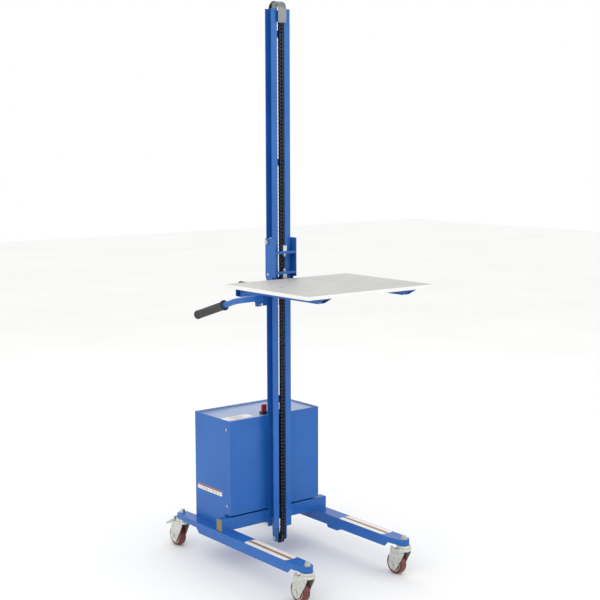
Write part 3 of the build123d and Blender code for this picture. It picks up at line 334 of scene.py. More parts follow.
def joined(parts: list[Surface]) -> Surface:
    """Joins a list of surfaces.

    Args:
        parts: at least one surface.

    Returns:
        One surface that holds them all.
    """
    counts = np.cumsum([0] + [len(part.points) for part in parts])
    groups = [
        (faces + shift, paint) for part, shift in zip(parts, counts) for faces, paint in part.groups
    ]
    return Surface(np.vstack([part.points for part in parts]), groups)


def grid(points: np.ndarray, wrap: bool = True, capped: bool = True) -> Surface:
    """A surface over a grid of points, in which each row is one section and rows follow each other.

    Args:
        points: an array of rows by columns by 3.
        wrap: whether the last column joins the first, which closes each section.
        capped: whether flat faces close the first and the last section.

    Returns:
        Quads between neighbouring rows, with end faces where asked.
    """
    rows, columns = points.shape[:2]
    across = columns if wrap else columns - 1
    row, column = np.meshgrid(np.arange(rows - 1), np.arange(across), indexing="ij")
    here = row * columns + column
    beside = row * columns + (column + 1) % columns
    quads = np.stack([here, beside, beside + columns, here + columns], axis=-1).reshape(-1, 4)
    groups = [(quads, 0)]
    if capped:
        first = np.arange(columns)[::-1][None, :]
        last = (np.arange(columns) + (rows - 1) * columns)[None, :]
        groups += [(first, 0), (last, 0)]
    return Surface(points.reshape(-1, 3), groups)


def axes_matrix(origin: tuple, right: tuple, up: tuple, out: tuple) -> np.ndarray:
    """A 4 by 4 matrix that takes local x, y and z to three directions at an origin."""
    matrix = np.eye(4)
    matrix[:3, :3] = np.array([right, up, out], float).T
    matrix[:3, 3] = origin
    return matrix


def towards(origin: tuple, out: tuple) -> np.ndarray:
    """A matrix that stands local z along a direction at an origin, with any turn about it."""
    direction = np.array(out, float) / np.linalg.norm(out)
    helper = np.array([0.0, 0.0, 1.0]) if abs(direction[2]) < 0.9 else np.array([0.0, 1.0, 0.0])
    right = np.cross(helper, direction)
    right /= np.linalg.norm(right)
    return axes_matrix(origin, right, np.cross(direction, right), direction)


def lathe(profile_mm: list[tuple[float, float]], sides: int = 48) -> Surface:
    """A round shape about local z: each profile point (r, z) goes round as (r cos t, r sin t, z).

    Args:
        profile_mm: radius and height of each point in mm, from the bottom up on the outside.
        sides: how many steps go round.

    Returns:
        The closed surface, with flat ends where the profile doesn't reach the axis.
    """
    profile = np.array(profile_mm, float) * MM
    turn = np.arange(sides) * TAU / sides
    radius = np.maximum(profile[:, 0], 1e-6)[:, None]
    x = radius * np.cos(turn)
    y = radius * np.sin(turn)
    z = np.repeat(profile[:, 1][:, None], sides, axis=1)
    return grid(np.stack([x, y, z], axis=-1))


def rounded_rim(
    radius: float, low: float, high: float, soft: float, steps: int = 4
) -> list[tuple[float, float]]:
    """Profile points of a disc's rim whose two edges are quarter circles of a small radius.

    Args:
        radius: the disc's radius in mm.
        low: the lower face's height in mm.
        high: the upper face's height in mm.
        soft: the edge radius in mm.
        steps: how many steps each quarter circle has.

    Returns:
        Profile points for lathe, from the bottom up.
    """
    turn = np.linspace(0, math.pi / 2, steps + 1)
    lower = [(radius - soft + soft * math.sin(a), low + soft - soft * math.cos(a)) for a in turn]
    upper = [(radius - soft + soft * math.cos(a), high - soft + soft * math.sin(a)) for a in turn]
    return lower + upper


def tube(path: np.ndarray, radius: np.ndarray | float, sides: int = 24) -> Surface:
    """A round bar along a path: a circle carried from point to point without twisting.

    Args:
        path: the centre line's points in metres.
        radius: one radius in metres, or one for each point.
        sides: how many steps go round.

    Returns:
        The closed surface.
    """
    tangent = np.gradient(path, axis=0)
    tangent /= np.linalg.norm(tangent, axis=1)[:, None]
    helper = np.array([0.0, 0.0, 1.0]) if abs(tangent[0, 2]) < 0.9 else np.array([1.0, 0.0, 0.0])
    side = np.cross(tangent, helper)
    side /= np.linalg.norm(side, axis=1)[:, None]
    rise = np.cross(side, tangent)
    turn = np.arange(sides) * TAU / sides
    spread = np.broadcast_to(np.asarray(radius, float), (len(path),))[:, None, None]
    circle = side[:, None, :] * np.cos(turn)[None, :, None] - rise[:, None, :] * np.sin(turn)[None, :, None]
    return grid(path[:, None, :] + spread * circle)


def rounded_loop(width: float, height: float, corner: float, steps: int = 6) -> np.ndarray:
    """The outline of a rectangle with quarter-circle corners, centred on the origin.

    Args:
        width: the size along x.
        height: the size along y.
        corner: the corner radius.
        steps: how many steps each corner has.

    Returns:
        Points going anticlockwise, as an array of n by 2.
    """
    centre = np.array([width / 2 - corner, height / 2 - corner])
    signs = np.array([[1, 1], [-1, 1], [-1, -1], [1, -1]])
    turn = np.linspace(0, math.pi / 2, steps + 1)
    angles = turn[None, :] + (np.arange(4) * math.pi / 2)[:, None]
    ring = np.stack([np.cos(angles), np.sin(angles)], axis=-1) * corner
    return (ring + (signs * centre)[:, None, :]).reshape(-1, 2)


def slab(outline: np.ndarray, thickness: float, soft: float, steps: int = 3) -> Surface:
    """A flat plate from an outline, whose upper and lower edges are quarter circles.

    Args:
        outline: points going anticlockwise, n by 2.
        thickness: the plate's thickness, from z = 0 up.
        soft: the edge radius; each section is the outline scaled in towards its middle by it.
        steps: how many steps each quarter circle has.

    Returns:
        The closed surface.
    """
    turn = np.linspace(0, math.pi / 2, steps + 1)
    inset = np.concatenate([soft * (1 - np.sin(turn)), soft * (1 - np.cos(turn))])
    height = np.concatenate([soft * (1 - np.cos(turn)), thickness - soft * (1 - np.sin(turn))])
    middle = (outline.max(axis=0) + outline.min(axis=0)) / 2
    reach = (outline.max(axis=0) - outline.min(axis=0)) / 2
    shrink = 1 - inset[:, None] / reach[None, :]
    flat = middle + (outline - middle)[None, :, :] * shrink[:, None, :]
    z = np.repeat(height[:, None, None], len(outline), axis=1)
    return grid(np.concatenate([flat, z], axis=-1))


def make_piece(
    name: str,
    surface: Surface,
    finishes: list[Finish],
    body: str,
    stands_for: tuple[str, ...] = (),
    smooth_deg: float = 35.0,
) -> bpy.types.Object:
    """Makes an object from a surface and fixes it to a body.

    Args:
        name: the piece's name.
        surface: its points and faces, in the row frame.
        finishes: the finishes that the face groups' numbers choose from.
        body: the CAD body that it moves with.
        stands_for: the CAD nodes that it replaces.
        smooth_deg: edges sharper than this stay sharp.

    Returns:
        The new object, at the origin.
    """
    mesh = bpy.data.meshes.new(name)
    faces = [face for group, _ in surface.groups for face in group.tolist()]
    mesh.from_pydata(surface.points.tolist(), [], faces)
    paints = np.concatenate([np.full(len(group), paint) for group, paint in surface.groups])
    mesh.polygons.foreach_set("material_index", paints.astype(np.int32))
    mesh.validate()
    tidy = bmesh.new()
    tidy.from_mesh(mesh)
    bmesh.ops.remove_doubles(tidy, verts=tidy.verts, dist=5e-6)
    bmesh.ops.recalc_face_normals(tidy, faces=tidy.faces)
    tidy.to_mesh(mesh)
    tidy.free()
    return dress(name, mesh, finishes, body, stands_for, smooth_deg)


def dress(
    name: str,
    mesh: bpy.types.Mesh,
    finishes: list[Finish],
    body: str,
    stands_for: tuple[str, ...],
    smooth_deg: float,
) -> bpy.types.Object:
    """Puts a mesh in the scene with its finishes, and ties it to the frame.

    Args:
        name: the piece's name.
        mesh: its mesh.
        finishes: its finishes, in the order of the faces' numbers.
        body: the CAD body that it moves with.
        stands_for: the CAD nodes that it replaces.
        smooth_deg: edges sharper than this stay sharp.

    Returns:
        The object.
    """
    for finish in finishes:
        mesh.materials.append(finish.material())
    mesh.polygons.foreach_set("use_smooth", np.ones(len(mesh.polygons), bool))
    mesh.set_sharp_from_angle(angle=math.radians(smooth_deg))
    piece = bpy.data.objects.new(name, mesh)
    bpy.context.scene.collection.objects.link(piece)
    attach(piece, body)
    if stands_for:
        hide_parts(*stands_for)
    log.info("%s: %d faces, moves with %s", name, len(mesh.polygons), body)
    return piece


def from_cad(
    node: str, finish: Finish, soft_mm: float = 0.6, smooth_deg: float = 32.0, steps: int = 2
) -> bpy.types.Object:
    """Stands a copy of a CAD node in for it, with every sharp edge rounded over.

    The copy's doubled points are merged and its flat faces joined, and a bevel of the given width
    rounds what is sharper than the angle.

    Args:
        node: the CAD node's name.
        finish: the copy's finish.
        soft_mm: the width of the rounded edge in mm, or 0 for none.
        smooth_deg: edges sharper than this are rounded.
        steps: how many faces go round an edge.

    Returns:
        The new object.
    """
    mesh = frame["nodes"][node].data.copy()
    merged = bmesh.new()
    merged.from_mesh(mesh)
    bmesh.ops.remove_doubles(merged, verts=merged.verts, dist=2e-6)
    bmesh.ops.dissolve_limit(
        merged, angle_limit=math.radians(0.5), verts=merged.verts, edges=merged.edges, delimit={"NORMAL"}
    )
    merged.to_mesh(mesh)
    merged.free()
    mesh.materials.clear()
    piece = dress(f"{node}_finished", mesh, [finish], BODY_OF[node], (node,), smooth_deg)
    if soft_mm:
        bevel = piece.modifiers.new("soft_edges", "BEVEL")
        bevel.width = soft_mm * MM
        bevel.segments = steps
        bevel.limit_method = "ANGLE"
        bevel.angle_limit = math.radians(smooth_deg)
        bevel.harden_normals = True
    return piece


def box_of(node: str) -> tuple[np.ndarray, np.ndarray]:
    """A CAD node's lowest and highest corner, as arrays."""
    low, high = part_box(node)
    return np.array(low, float), np.array(high, float)


def centre_of(node: str) -> np.ndarray:
    """The middle of a CAD node's box."""
    low, high = box_of(node)
    return (low + high) / 2


def screw_head(radius_mm: float, rise_mm: float, cross_mm: float) -> Surface:
    """A pan-headed screw's head along local z, with a cross recess.

    The head is a cap of height h (1 - (r/R)^4); a cross of two bars is sunk into it, with sides that
    slope as a smooth step of the distance from each bar's middle line.

    Args:
        radius_mm: the head's radius.
        rise_mm: the head's height.
        cross_mm: the length of each arm of the cross.

    Returns:
        The closed head, standing on z = 0.
    """
    rings = np.linspace(0.02, 1, 15)
    turn = np.arange(48) * TAU / 48
    r = (rings * radius_mm)[::-1, None]
    x = r * np.cos(turn)
    y = r * np.sin(turn)
    dome = rise_mm * (1 - 0.45 * (r / radius_mm) ** 4)
    arm = np.minimum(np.abs(x), np.abs(y))
    inside = np.clip((0.16 * radius_mm - arm) / (0.10 * radius_mm) + 0.5, 0, 1)
    reach = np.clip((cross_mm - r) / (0.2 * radius_mm), 0, 1)
    z = dome - 0.65 * rise_mm * inside * reach
    top = np.stack([x, y, z], axis=-1) * MM
    foot = top[:1].copy()
    foot[..., 2] = 0
    return grid(np.concatenate([foot, top]))


def weld_bead(start: tuple, end: tuple, size_mm: float = 2.6) -> Surface:
    """A fillet weld between two points: a bar whose radius swells along it in even ripples.

    Args:
        start: one end, in metres.
        end: the other end, in metres.
        size_mm: the bead's radius in mm.

    Returns:
        The closed bead, with rounded ends.
    """
    run = np.array(end, float) - np.array(start, float)
    length = float(np.linalg.norm(run))
    count = max(12, int(length / (0.9 * MM)))
    along = np.linspace(0, 1, count)
    ripple = 0.9 + 0.14 * np.abs(np.sin(along * length / (3.2 * MM) * math.pi))
    ends = np.sqrt(np.clip(np.minimum(along, 1 - along) * length / (size_mm * MM), 0.02, 1))
    path = np.array(start)[None, :] + along[:, None] * run[None, :]
    return tube(path, size_mm * MM * ripple * ends, 10)


# ---------------------------------------------------------------- sub-assemblies


@dataclass
class RollerChain:
    """The lift chain: side plates, rollers and pins of a half-inch pitch chain on its whole loop."""

    pitch: float = 12.7 * MM
    plate_height: float = 11.7 * MM
    plate_thick: float = 1.5 * MM
    inner_gap: float = 7.95 * MM
    roller_radius: float = 3.96 * MM
    pin_radius: float = 2.0 * MM
    pin_reach: float = 8.25 * MM
    small_teeth: int = 8
    drive_teeth: int = 20

    def wheel_radius(self, teeth: int) -> float:
        """The pitch circle's radius: half the pitch over the sine of half a tooth's angle."""
        return self.pitch / 2 / math.sin(math.pi / teeth)

    def pins(self) -> np.ndarray:
        """Works out where the chain's pins stand in the Y-Z plane.

        Round a sprocket they stand a tooth apart on its pitch circle, and between sprockets they
        stand a pitch apart on the straight run.

        Returns:
            An array of n by 2, going round the loop from the front of the top sprocket.
        """
        small = self.wheel_radius(self.small_teeth)
        large = self.wheel_radius(self.drive_teeth)
        turns = [
            ("top_sprocket", small, self.small_teeth, 180, 0),
            ("chain_guide_roller_upper", small, self.small_teeth, 180, 270),
            ("drive_sprocket", large, self.drive_teeth, 90, -90),
            ("chain_guide_roller_lower", small, self.small_teeth, 90, 180),
            ("bottom_sprocket", small, self.small_teeth, 0, -180),
        ]
        arcs = []
        for node, radius, teeth, start, end in turns:
            steps = round(abs(end - start) / 360 * teeth)
            angles = np.radians(np.linspace(start, end, steps + 1))
            middle = centre_of(node)[1:]
            arcs.append(middle + radius * np.stack([np.cos(angles), np.sin(angles)], axis=-1))
        runs = []
        for arc, following in zip(arcs, arcs[1:] + arcs[:1]):
            gap = np.linalg.norm(following[0] - arc[-1])
            share = np.arange(1, round(gap / self.pitch)) / round(gap / self.pitch)
            runs += [arc, arc[-1] + share[:, None] * (following[0] - arc[-1])]
        return np.concatenate(runs)

    def plate_outline(self) -> np.ndarray:
        """One side plate's outline: a circle round each pin, drawn in at the waist between them."""
        turn = np.radians(np.linspace(-115, 115, 9))
        radius = self.plate_height / 2
        right = np.stack([self.pitch + radius * np.cos(turn), radius * np.sin(turn)], axis=-1)
        waist = np.array([[self.pitch / 2, radius * 0.74]])
        left = np.array([self.pitch, 0]) - right
        return np.concatenate([right, waist, left, -waist + np.array([[self.pitch, 0]])])

    def along_links(self, shape: Surface, start: np.ndarray, run: np.ndarray) -> Surface:
        """Repeats a shape on many links at once.

        Args:
            shape: the shape, with local x along the link and local z across the chain.
            start: each link's first pin, n by 2.
            run: each link's unit direction, n by 2.

        Returns:
            One surface with every copy.
        """
        across = np.stack([-run[:, 1], run[:, 0]], axis=-1)
        local = shape.points
        flat = start[:, None, :] + local[None, :, 0:1] * run[:, None, :]
        flat = flat + local[None, :, 1:2] * across[:, None, :]
        x = np.broadcast_to(local[None, :, 2:3], (len(start), len(local), 1))
        points = np.concatenate([x, flat], axis=-1).reshape(-1, 3)
        shift = (np.arange(len(start)) * len(local))[:, None, None]
        groups = [
            ((faces[None, :, :] + shift).reshape(-1, faces.shape[1]), paint) for faces, paint in shape.groups
        ]
        return Surface(points, groups)

    def build(self) -> None:
        """Makes the whole chain as one piece."""
        pins = self.pins()
        following = np.roll(pins, -1, axis=0)
        run = following - pins
        run /= np.linalg.norm(run, axis=1)[:, None]
        odd = np.arange(len(pins)) % 2 == 1
        outline = self.plate_outline()
        inner = self.inner_gap / 2
        outer = inner + self.plate_thick + 0.1 * MM
        parts = []
        for offset, mask in ((inner, ~odd), (outer, odd)):
            flat = np.stack([outline, outline])
            for low in (offset, -offset - self.plate_thick):
                z = np.array([low, low + self.plate_thick])[:, None, None] * np.ones((2, len(outline), 1))
                plate = grid(np.concatenate([flat, z], axis=-1))
                parts.append(self.along_links(plate, pins[mask], run[mask]))
        roller = self.bar(self.roller_radius, inner - 0.1 * MM, 14)
        pin = self.bar(self.pin_radius, self.pin_reach, 10)
        parts += [self.along_links(shape, pins, run) for shape in (roller, pin)]
        make_piece(
            "roller_chain", joined(parts), [OILED_STEEL], BODY_OF["lift_chain"],
            ("lift_chain",), 30,
        )

    def bar(self, radius: float, half: float, sides: int) -> Surface:
        """A round bar across the chain, centred on a pin."""
        turn = np.arange(sides) * TAU / sides
        circle = np.stack([radius * np.cos(turn), radius * np.sin(turn)], axis=-1)
        z = np.array([-half, half])[:, None, None] * np.ones((2, sides, 1))
        return grid(np.concatenate([np.stack([circle, circle]), z], axis=-1))


@dataclass
class Mast:
    """The two channels with their spacers, cap, sprockets, axles and foot brackets."""

    channel_soft: float = 1.4
    plate_soft: float = 0.8
    bead: float = 2.2

    def build(self) -> None:
        """Makes every piece of the mast."""
        for side in ("left", "right"):
            from_cad(f"mast_channel_{side}", BLUE_ENAMEL, self.channel_soft, steps=3)
        from_cad("mast_spacers", BLUE_ENAMEL, self.plate_soft)
        from_cad("mast_mounts", BLUE_ENAMEL, self.plate_soft)
        from_cad("bottom_bracket_plates", BLUE_ENAMEL, self.plate_soft)
        from_cad("top_cap", ROLLED_ALUMINIUM, 0.5)
        from_cad("sprocket_axles", ZINC_PLATE, 0.5)
        from_cad("frame_bolts", ZINC_PLATE, 0.4)
        for level in ("top", "bottom"):
            from_cad(f"{level}_sprocket", SPROCKET_STEEL, 0.4)
        self.spacer_welds()

    def spacer_welds(self) -> None:
        """Adds the bead along each front edge of the lowest mounting plates, where they meet the mast."""
        low, high = box_of("base_crossbar")
        half = box_of("mast_channel_right")[1][0]
        y = low[1] - 0.5 * MM
        beads = [
            weld_bead((sign * half, y, low[2] + 6 * MM), (sign * half, y, high[2] - 6 * MM), self.bead)
            for sign in (-1, 1)
        ]
        make_piece("mast_foot_welds", joined(beads), [BLUE_ENAMEL], "frame")


@dataclass
class Platform:
    """The board with its edging strip and its six countersunk screws."""

    corner: float = 6.0 * MM
    soft: float = 1.6 * MM
    head_radius: float = 5.0

    def build(self) -> None:
        """Makes the board and the screw heads."""
        low, high = box_of("platform_board")
        size = high - low
        outline = rounded_loop(size[0], size[1], self.corner, 8)
        board = slab(outline, size[2], self.soft, 4)
        middle = (low + high) / 2
        place = axes_matrix((middle[0], middle[1], low[2]), (1, 0, 0), (0, 1, 0), (0, 0, 1))
        board = board.placed(place)
        sides, foot, top = board.groups
        board.groups = [(sides[0], 1), (foot[0], 0), (top[0], 0)]
        make_piece(
            "platform_board_laminated", board, [LAMINATE, EDGE_BAND], BODY_OF["platform_board"],
            ("platform_board",), 40,
        )
        from_cad("platform_screws", ZINC_PLATE, 0.2)
        self.screw_heads(high[2])

    def screw_heads(self, top: float) -> None:
        """Sets a cross-recessed head flush in the board over each screw.

        Args:
            top: the height of the board's top in metres.
        """
        low, high = box_of("platform_screws")
        reach = 2 * self.head_radius * MM
        columns = (low[0] + reach / 2, high[0] - reach / 2)
        rows = np.linspace(low[1] + reach / 2, high[1] - reach / 2, 3)
        head = screw_head(self.head_radius + 0.4, 0.5, 3.4)
        spots = [(x, y) for x in columns for y in rows]
        heads = [head.placed(towards((x, y, top - 0.05 * MM), (0, 0, 1))) for x, y in spots]
        make_piece("platform_screw_heads", joined(heads), [ZINC_PLATE], "carriage")


@dataclass
class Carriage:
    """Side plates, crossbars, chain anchors, axles, guide rollers, tube and arms."""

    plate_soft: float = 0.9
    tube_soft: float = 1.2

    def build(self) -> None:
        """Makes every piece that climbs the mast, apart from the board."""
        from_cad("carriage_side_plates", BLUE_ENAMEL, self.plate_soft)
        from_cad("carriage_crossbars", BLUE_ENAMEL, self.plate_soft)
        from_cad("chain_anchors", ZINC_PLATE, 0.4)
        from_cad("roller_axles", ZINC_PLATE, 0.5)
        from_cad("support_tube", BLUE_ENAMEL, self.tube_soft, steps=3)
        for side in ("left", "right"):
            from_cad(f"platform_arm_{side}", BLUE_ENAMEL, self.tube_soft, steps=3)
            for level in ("upper", "lower"):
                from_cad(f"mast_roller_{level}_{side}", NYLON, 0.5)
        self.welds()

    def welds(self) -> None:
        """Adds the beads where the arms and the side plates meet the support tube."""
        low, high = box_of("support_tube")
        beads = []
        for side in ("left", "right"):
            arm_low, arm_high = box_of(f"platform_arm_{side}")
            y = low[1] - 0.4 * MM
            z = arm_low[2] + 0.3 * MM
            beads.append(weld_bead((arm_low[0] + 2 * MM, y, z), (arm_high[0] - 2 * MM, y, z), 2.0))
        plate = box_of("carriage_side_plates")[1][0] - 1.6 * MM
        for sign in (-1, 1):
            top = high[2] - 2 * MM
            x = sign * plate
            y = high[1] + 0.3 * MM
            beads.append(weld_bead((x, y, low[2] + 4 * MM), (x, y, top), 1.8))
        make_piece("carriage_welds", joined(beads), [BLUE_ENAMEL], "carriage")


@dataclass
class Handles:
    """Two bent tubes in split clamps, each with a vinyl grip."""

    grip_length: float = 190.0
    grip_radius: float = 16.2
    flange_radius: float = 19.5
    rib_count: int = 26
    rib_depth: float = 0.55

    def build(self) -> None:
        """Makes the clamps, the tubes and the grips."""
        from_cad("handle_clamps", BLUE_ENAMEL, 0.7)
        for side in ("left", "right"):
            from_cad(f"handle_tube_{side}", BLUE_ENAMEL, 0.4, smooth_deg=40)
            self.grip(side)

    def axis(self, side: str) -> tuple[np.ndarray, np.ndarray]:
        """Finds a grip's centre line from its CAD node: the direction in which its points spread most.

        Args:
            side: left or right.

        Returns:
            The grip's outer end on the line and the unit direction from there back to the mast.
        """
        mesh = frame["nodes"][f"handle_grip_{side}"].data
        points = np.empty(len(mesh.vertices) * 3)
        mesh.vertices.foreach_get("co", points)
        points = points.reshape(-1, 3)
        middle = centre_of(f"handle_grip_{side}")
        spread = points - points.mean(axis=0)
        direction = np.linalg.svd(spread, full_matrices=False)[2][0]
        direction *= -np.sign(direction[1])
        along = (points - middle) @ direction
        end = points[along < along.min() + 0.1 * MM].mean(axis=0)
        end[0] = middle[0]
        return end, direction

    def grip(self, side: str) -> None:
        """Makes one ribbed grip.

        The section is a circle whose radius ripples round it as a rounded wave, between a plain
        flange at the mast end and a domed end with a raised lip.

        Args:
            side: left or right.
        """
        end, direction = self.axis(side)
        full = self.grip_length
        stations = [
            (0.0, 0.02, 0.0), (0.0, 6.0, 0.0), (0.1, 11.0, 0.0), (0.5, 14.6, 0.0), (1.6, 16.6, 0.0),
            (3.0, 17.2, 0.0), (5.5, 17.2, 0.0), (7.0, 16.8, 0.3), (9.0, self.grip_radius, 1.0),
            (60.0, self.grip_radius, 1.0), (120.0, self.grip_radius, 1.0),
            (full - 13, self.grip_radius, 1.0), (full - 10, self.grip_radius, 0.2),
            (full - 7.5, self.grip_radius + 0.4, 0.0), (full - 5.6, self.flange_radius - 1.2, 0.0),
            (full - 4.6, self.flange_radius, 0.0), (full - 1.4, self.flange_radius, 0.0),
            (full - 0.4, self.flange_radius - 0.7, 0.0), (full, self.flange_radius - 2.0, 0.0),
            (full, 12.4, 0.0), (full - 1.5, 11.3, 0.0),
        ]
        table = np.array(stations)
        sides = self.rib_count * 8
        turn = np.arange(sides) * TAU / sides
        wave = np.abs(np.cos(turn * self.rib_count / 2)) ** 1.5
        radius = table[:, 1:2] - self.rib_depth * table[:, 2:3] * (1 - wave)[None, :]
        z = np.repeat(table[:, 0:1], sides, axis=1)
        shape = grid(np.stack([radius * np.cos(turn), radius * np.sin(turn), z], axis=-1) * MM)
        node = f"handle_grip_{side}"
        make_piece(
            f"{node}_ribbed", shape.placed(towards(tuple(end), tuple(direction))), [VINYL_GRIP],
            BODY_OF[node], (node,), 45,
        )


@dataclass
class Casters:
    """Four swivel casters: race, fork, wheel and stem nut, with a brake pedal on the rear two."""

    corners: tuple[str, ...] = ("fl", "fr", "rl", "rr")
    wheel_radius: float = 38.1
    half_width: float = 14.0

    def build(self) -> None:
        """Makes every caster's pieces."""
        from_cad("caster_heads", PRESSED_ZINC, 0.5)
        from_cad("caster_stem_nuts", ZINC_PLATE, 0.5)
        for corner in self.corners:
            from_cad(f"caster_fork_{corner}", PRESSED_ZINC, 0.8)
            self.wheel(corner)
            self.fork_details(corner)
            if corner.startswith("r"):
                from_cad(f"brake_pedal_{corner}", ZINC_PLATE, 0.5)
                self.pedal_pad(corner)

    def wheel(self, corner: str) -> None:
        """Makes a wheel's tread and core as round profiles about the axle.

        Args:
            corner: fl, fr, rl or rr.
        """
        node = f"caster_wheel_{corner}"
        half = self.half_width
        full = self.wheel_radius
        rim = full - 8.5
        tread = [(rim - 1.5, -half + 2.2), (rim, -half + 0.4), (rim + 1.4, -half)]
        tread += rounded_rim(full, -half, half, 5.2, 8)
        tread += [(rim + 1.4, half), (rim, half - 0.4), (rim - 1.5, half - 2.2)]
        core = [
            (4.3, -half - 1.4), (11.2, -half - 1.4), (12.0, -half - 0.8), (12.6, -half + 2.4),
            (15.0, -half + 4.0), (rim - 7.0, -half + 4.0), (rim - 4.6, -half + 1.8), (rim - 2.4, -half + 1.0),
            (rim - 0.6, -half + 1.4),
        ]
        core += [(r, -z) for r, z in reversed(core)]
        place = towards(tuple(centre_of(node)), (1, 0, 0))
        parts = joined([lathe(tread, 72), lathe(core, 72).painted(1)]).placed(place)
        make_piece(
            f"{node}_moulded", parts, [POLYURETHANE, WHEEL_CORE], BODY_OF[node], (node,), 30,
        )

    def fork_details(self, corner: str) -> None:
        """Adds the pressed ring round each axle eye.

        Args:
            corner: fl, fr, rl or rr.
        """
        axle = centre_of(f"caster_wheel_{corner}")
        outside = 19.0 * MM
        ring = [(9.0, 0.0), (9.6, 0.9), (11.0, 1.3), (12.6, 1.2), (14.0, 0.5), (14.6, 0.0)]
        parts = []
        for sign in (-1, 1):
            spot = (axle[0] + sign * (outside - 0.1 * MM), axle[1], axle[2])
            parts.append(lathe(ring, 48).placed(towards(spot, (sign, 0, 0))))
        make_piece(f"caster_eye_rings_{corner}", joined(parts), [PRESSED_ZINC], f"fork_{corner}")

    def pedal_pad(self, corner: str) -> None:
        """Adds the dark ribbed pad on the end of a brake pedal.

        Args:
            corner: rl or rr.
        """
        low, high = box_of(f"brake_pedal_{corner}")
        outline = rounded_loop(20 * MM, 14 * MM, 3 * MM)
        pad = slab(outline, 2.4 * MM, 0.8 * MM)
        ribs = [
            slab(rounded_loop(17 * MM, 1.4 * MM, 0.6 * MM), 0.9 * MM, 0.3 * MM).placed(
                axes_matrix((0, step * 3.2 * MM, 2.2 * MM), (1, 0, 0), (0, 1, 0), (0, 0, 1))
            )
            for step in (-1, 0, 1)
        ]
        slope = math.atan2(-31.0, 46.5)
        middle = (low + high) / 2
        spot = (middle[0], high[1] - 9.5 * MM, low[2] + 8.2 * MM)
        up = (0, math.cos(slope), math.sin(slope))
        out = (0, -math.sin(slope), math.cos(slope))
        whole = joined([pad] + ribs).placed(axes_matrix(spot, (1, 0, 0), up, out))
        make_piece(f"brake_pedal_pad_{corner}", whole, [BLACK_ABS], f"pedal_{corner}")


@dataclass
class Base:
    """Straddle legs, crossbar, end plugs, welds and the legs' labels."""

    leg_soft: float = 2.2
    label_width: float = 53.0 * MM
    label_start: float = -110.0 * MM
    label_end: float = -350.0 * MM

    def build(self) -> None:
        """Makes the base's pieces."""
        for side in ("left", "right"):
            from_cad(f"base_leg_{side}", BLUE_ENAMEL, self.leg_soft, steps=3)
        from_cad("base_crossbar", BLUE_ENAMEL, 0.6)
        from_cad("crossbar_end_plugs", TAN_PLUG, 0.6)
        self.welds()
        self.labels()

    def welds(self) -> None:
        """Adds the beads along the crossbar's foot on each leg, in front and behind."""
        low, high = box_of("base_crossbar")
        beads = []
        for sign in (-1, 1):
            inner = box_of("base_leg_right")[0][0] + 3 * MM
            for y in (low[1], high[1]):
                z = low[2] + 0.4 * MM
                beads.append(weld_bead((sign * inner, y, z), (sign * (high[0] - 3 * MM), y, z), 2.8))
        make_piece("base_welds", joined(beads), [BLUE_ENAMEL], "frame")

    def labels(self) -> None:
        """Lays a blank safety strip on each leg: a white film with a tan band along its middle."""
        low, high = box_of("base_leg_right")
        middle = (low[0] + high[0]) / 2
        mast_y = centre_of("mast_channel_right")[1]
        ends = (mast_y + self.label_start, mast_y + self.label_end)
        for side, sign in (("left", -1), ("right", 1)):
            spot = (sign * middle, sum(ends) / 2, high[2] + 0.02 * MM)
            label = Label(self.label_width, abs(ends[0] - ends[1]), 0.24, 0, bars=0)
            label.build(f"leg_label_{side}", axes_matrix(spot, (1, 0, 0), (0, 1, 0), (0, 0, 1)))


@dataclass
class Label:
    """A blank label: a white film with a tan band along its length and, if asked, grey bars."""

    width: float
    length: float
    band_share: float
    band_side: int
    bars: int = 7
    film: float = 0.12 * MM

    def strip(self, x: float, y: float, width: float, length: float, lift: float, paint: int) -> Surface:
        """A thin rounded strip on the label, at a place and height, in one finish."""
        outline = rounded_loop(width, length, min(width, length) * 0.18, 4)
        shape = slab(outline, self.film, self.film * 0.3, 1)
        return shape.placed(axes_matrix((x, y, lift), (1, 0, 0), (0, 1, 0), (0, 0, 1))).painted(paint)

    def build(self, name: str, place: np.ndarray) -> None:
        """Makes the label at a place.

        Args:
            name: the piece's name.
            place: a matrix that takes the label's x (width), y (length) and z (out) to the row frame.
        """
        band = self.width * self.band_share
        edge = 1.0 * MM
        parts = [self.strip(0, 0, self.width, self.length, 0, 0)]
        band_x = self.band_side * (self.width - band) / 2
        parts.append(self.strip(band_x, 0, band, self.length - 2 * edge, self.film * 0.6, 1))
        open_x = -self.band_side * band / 2
        step = (self.length - 12 * MM) / max(self.bars, 1)
        for number in range(self.bars):
            y = -self.length / 2 + 6 * MM + step * (number + 0.5)
            wide = (self.width - band) * (0.5 if number % 3 else 0.3)
            parts.append(self.strip(open_x, y, wide, step * 0.62, self.film * 0.6, 2))
        make_piece(
            name, joined(parts).placed(place), [WHITE_LABEL, TAN_LABEL, GREY_LABEL], "frame",
        )


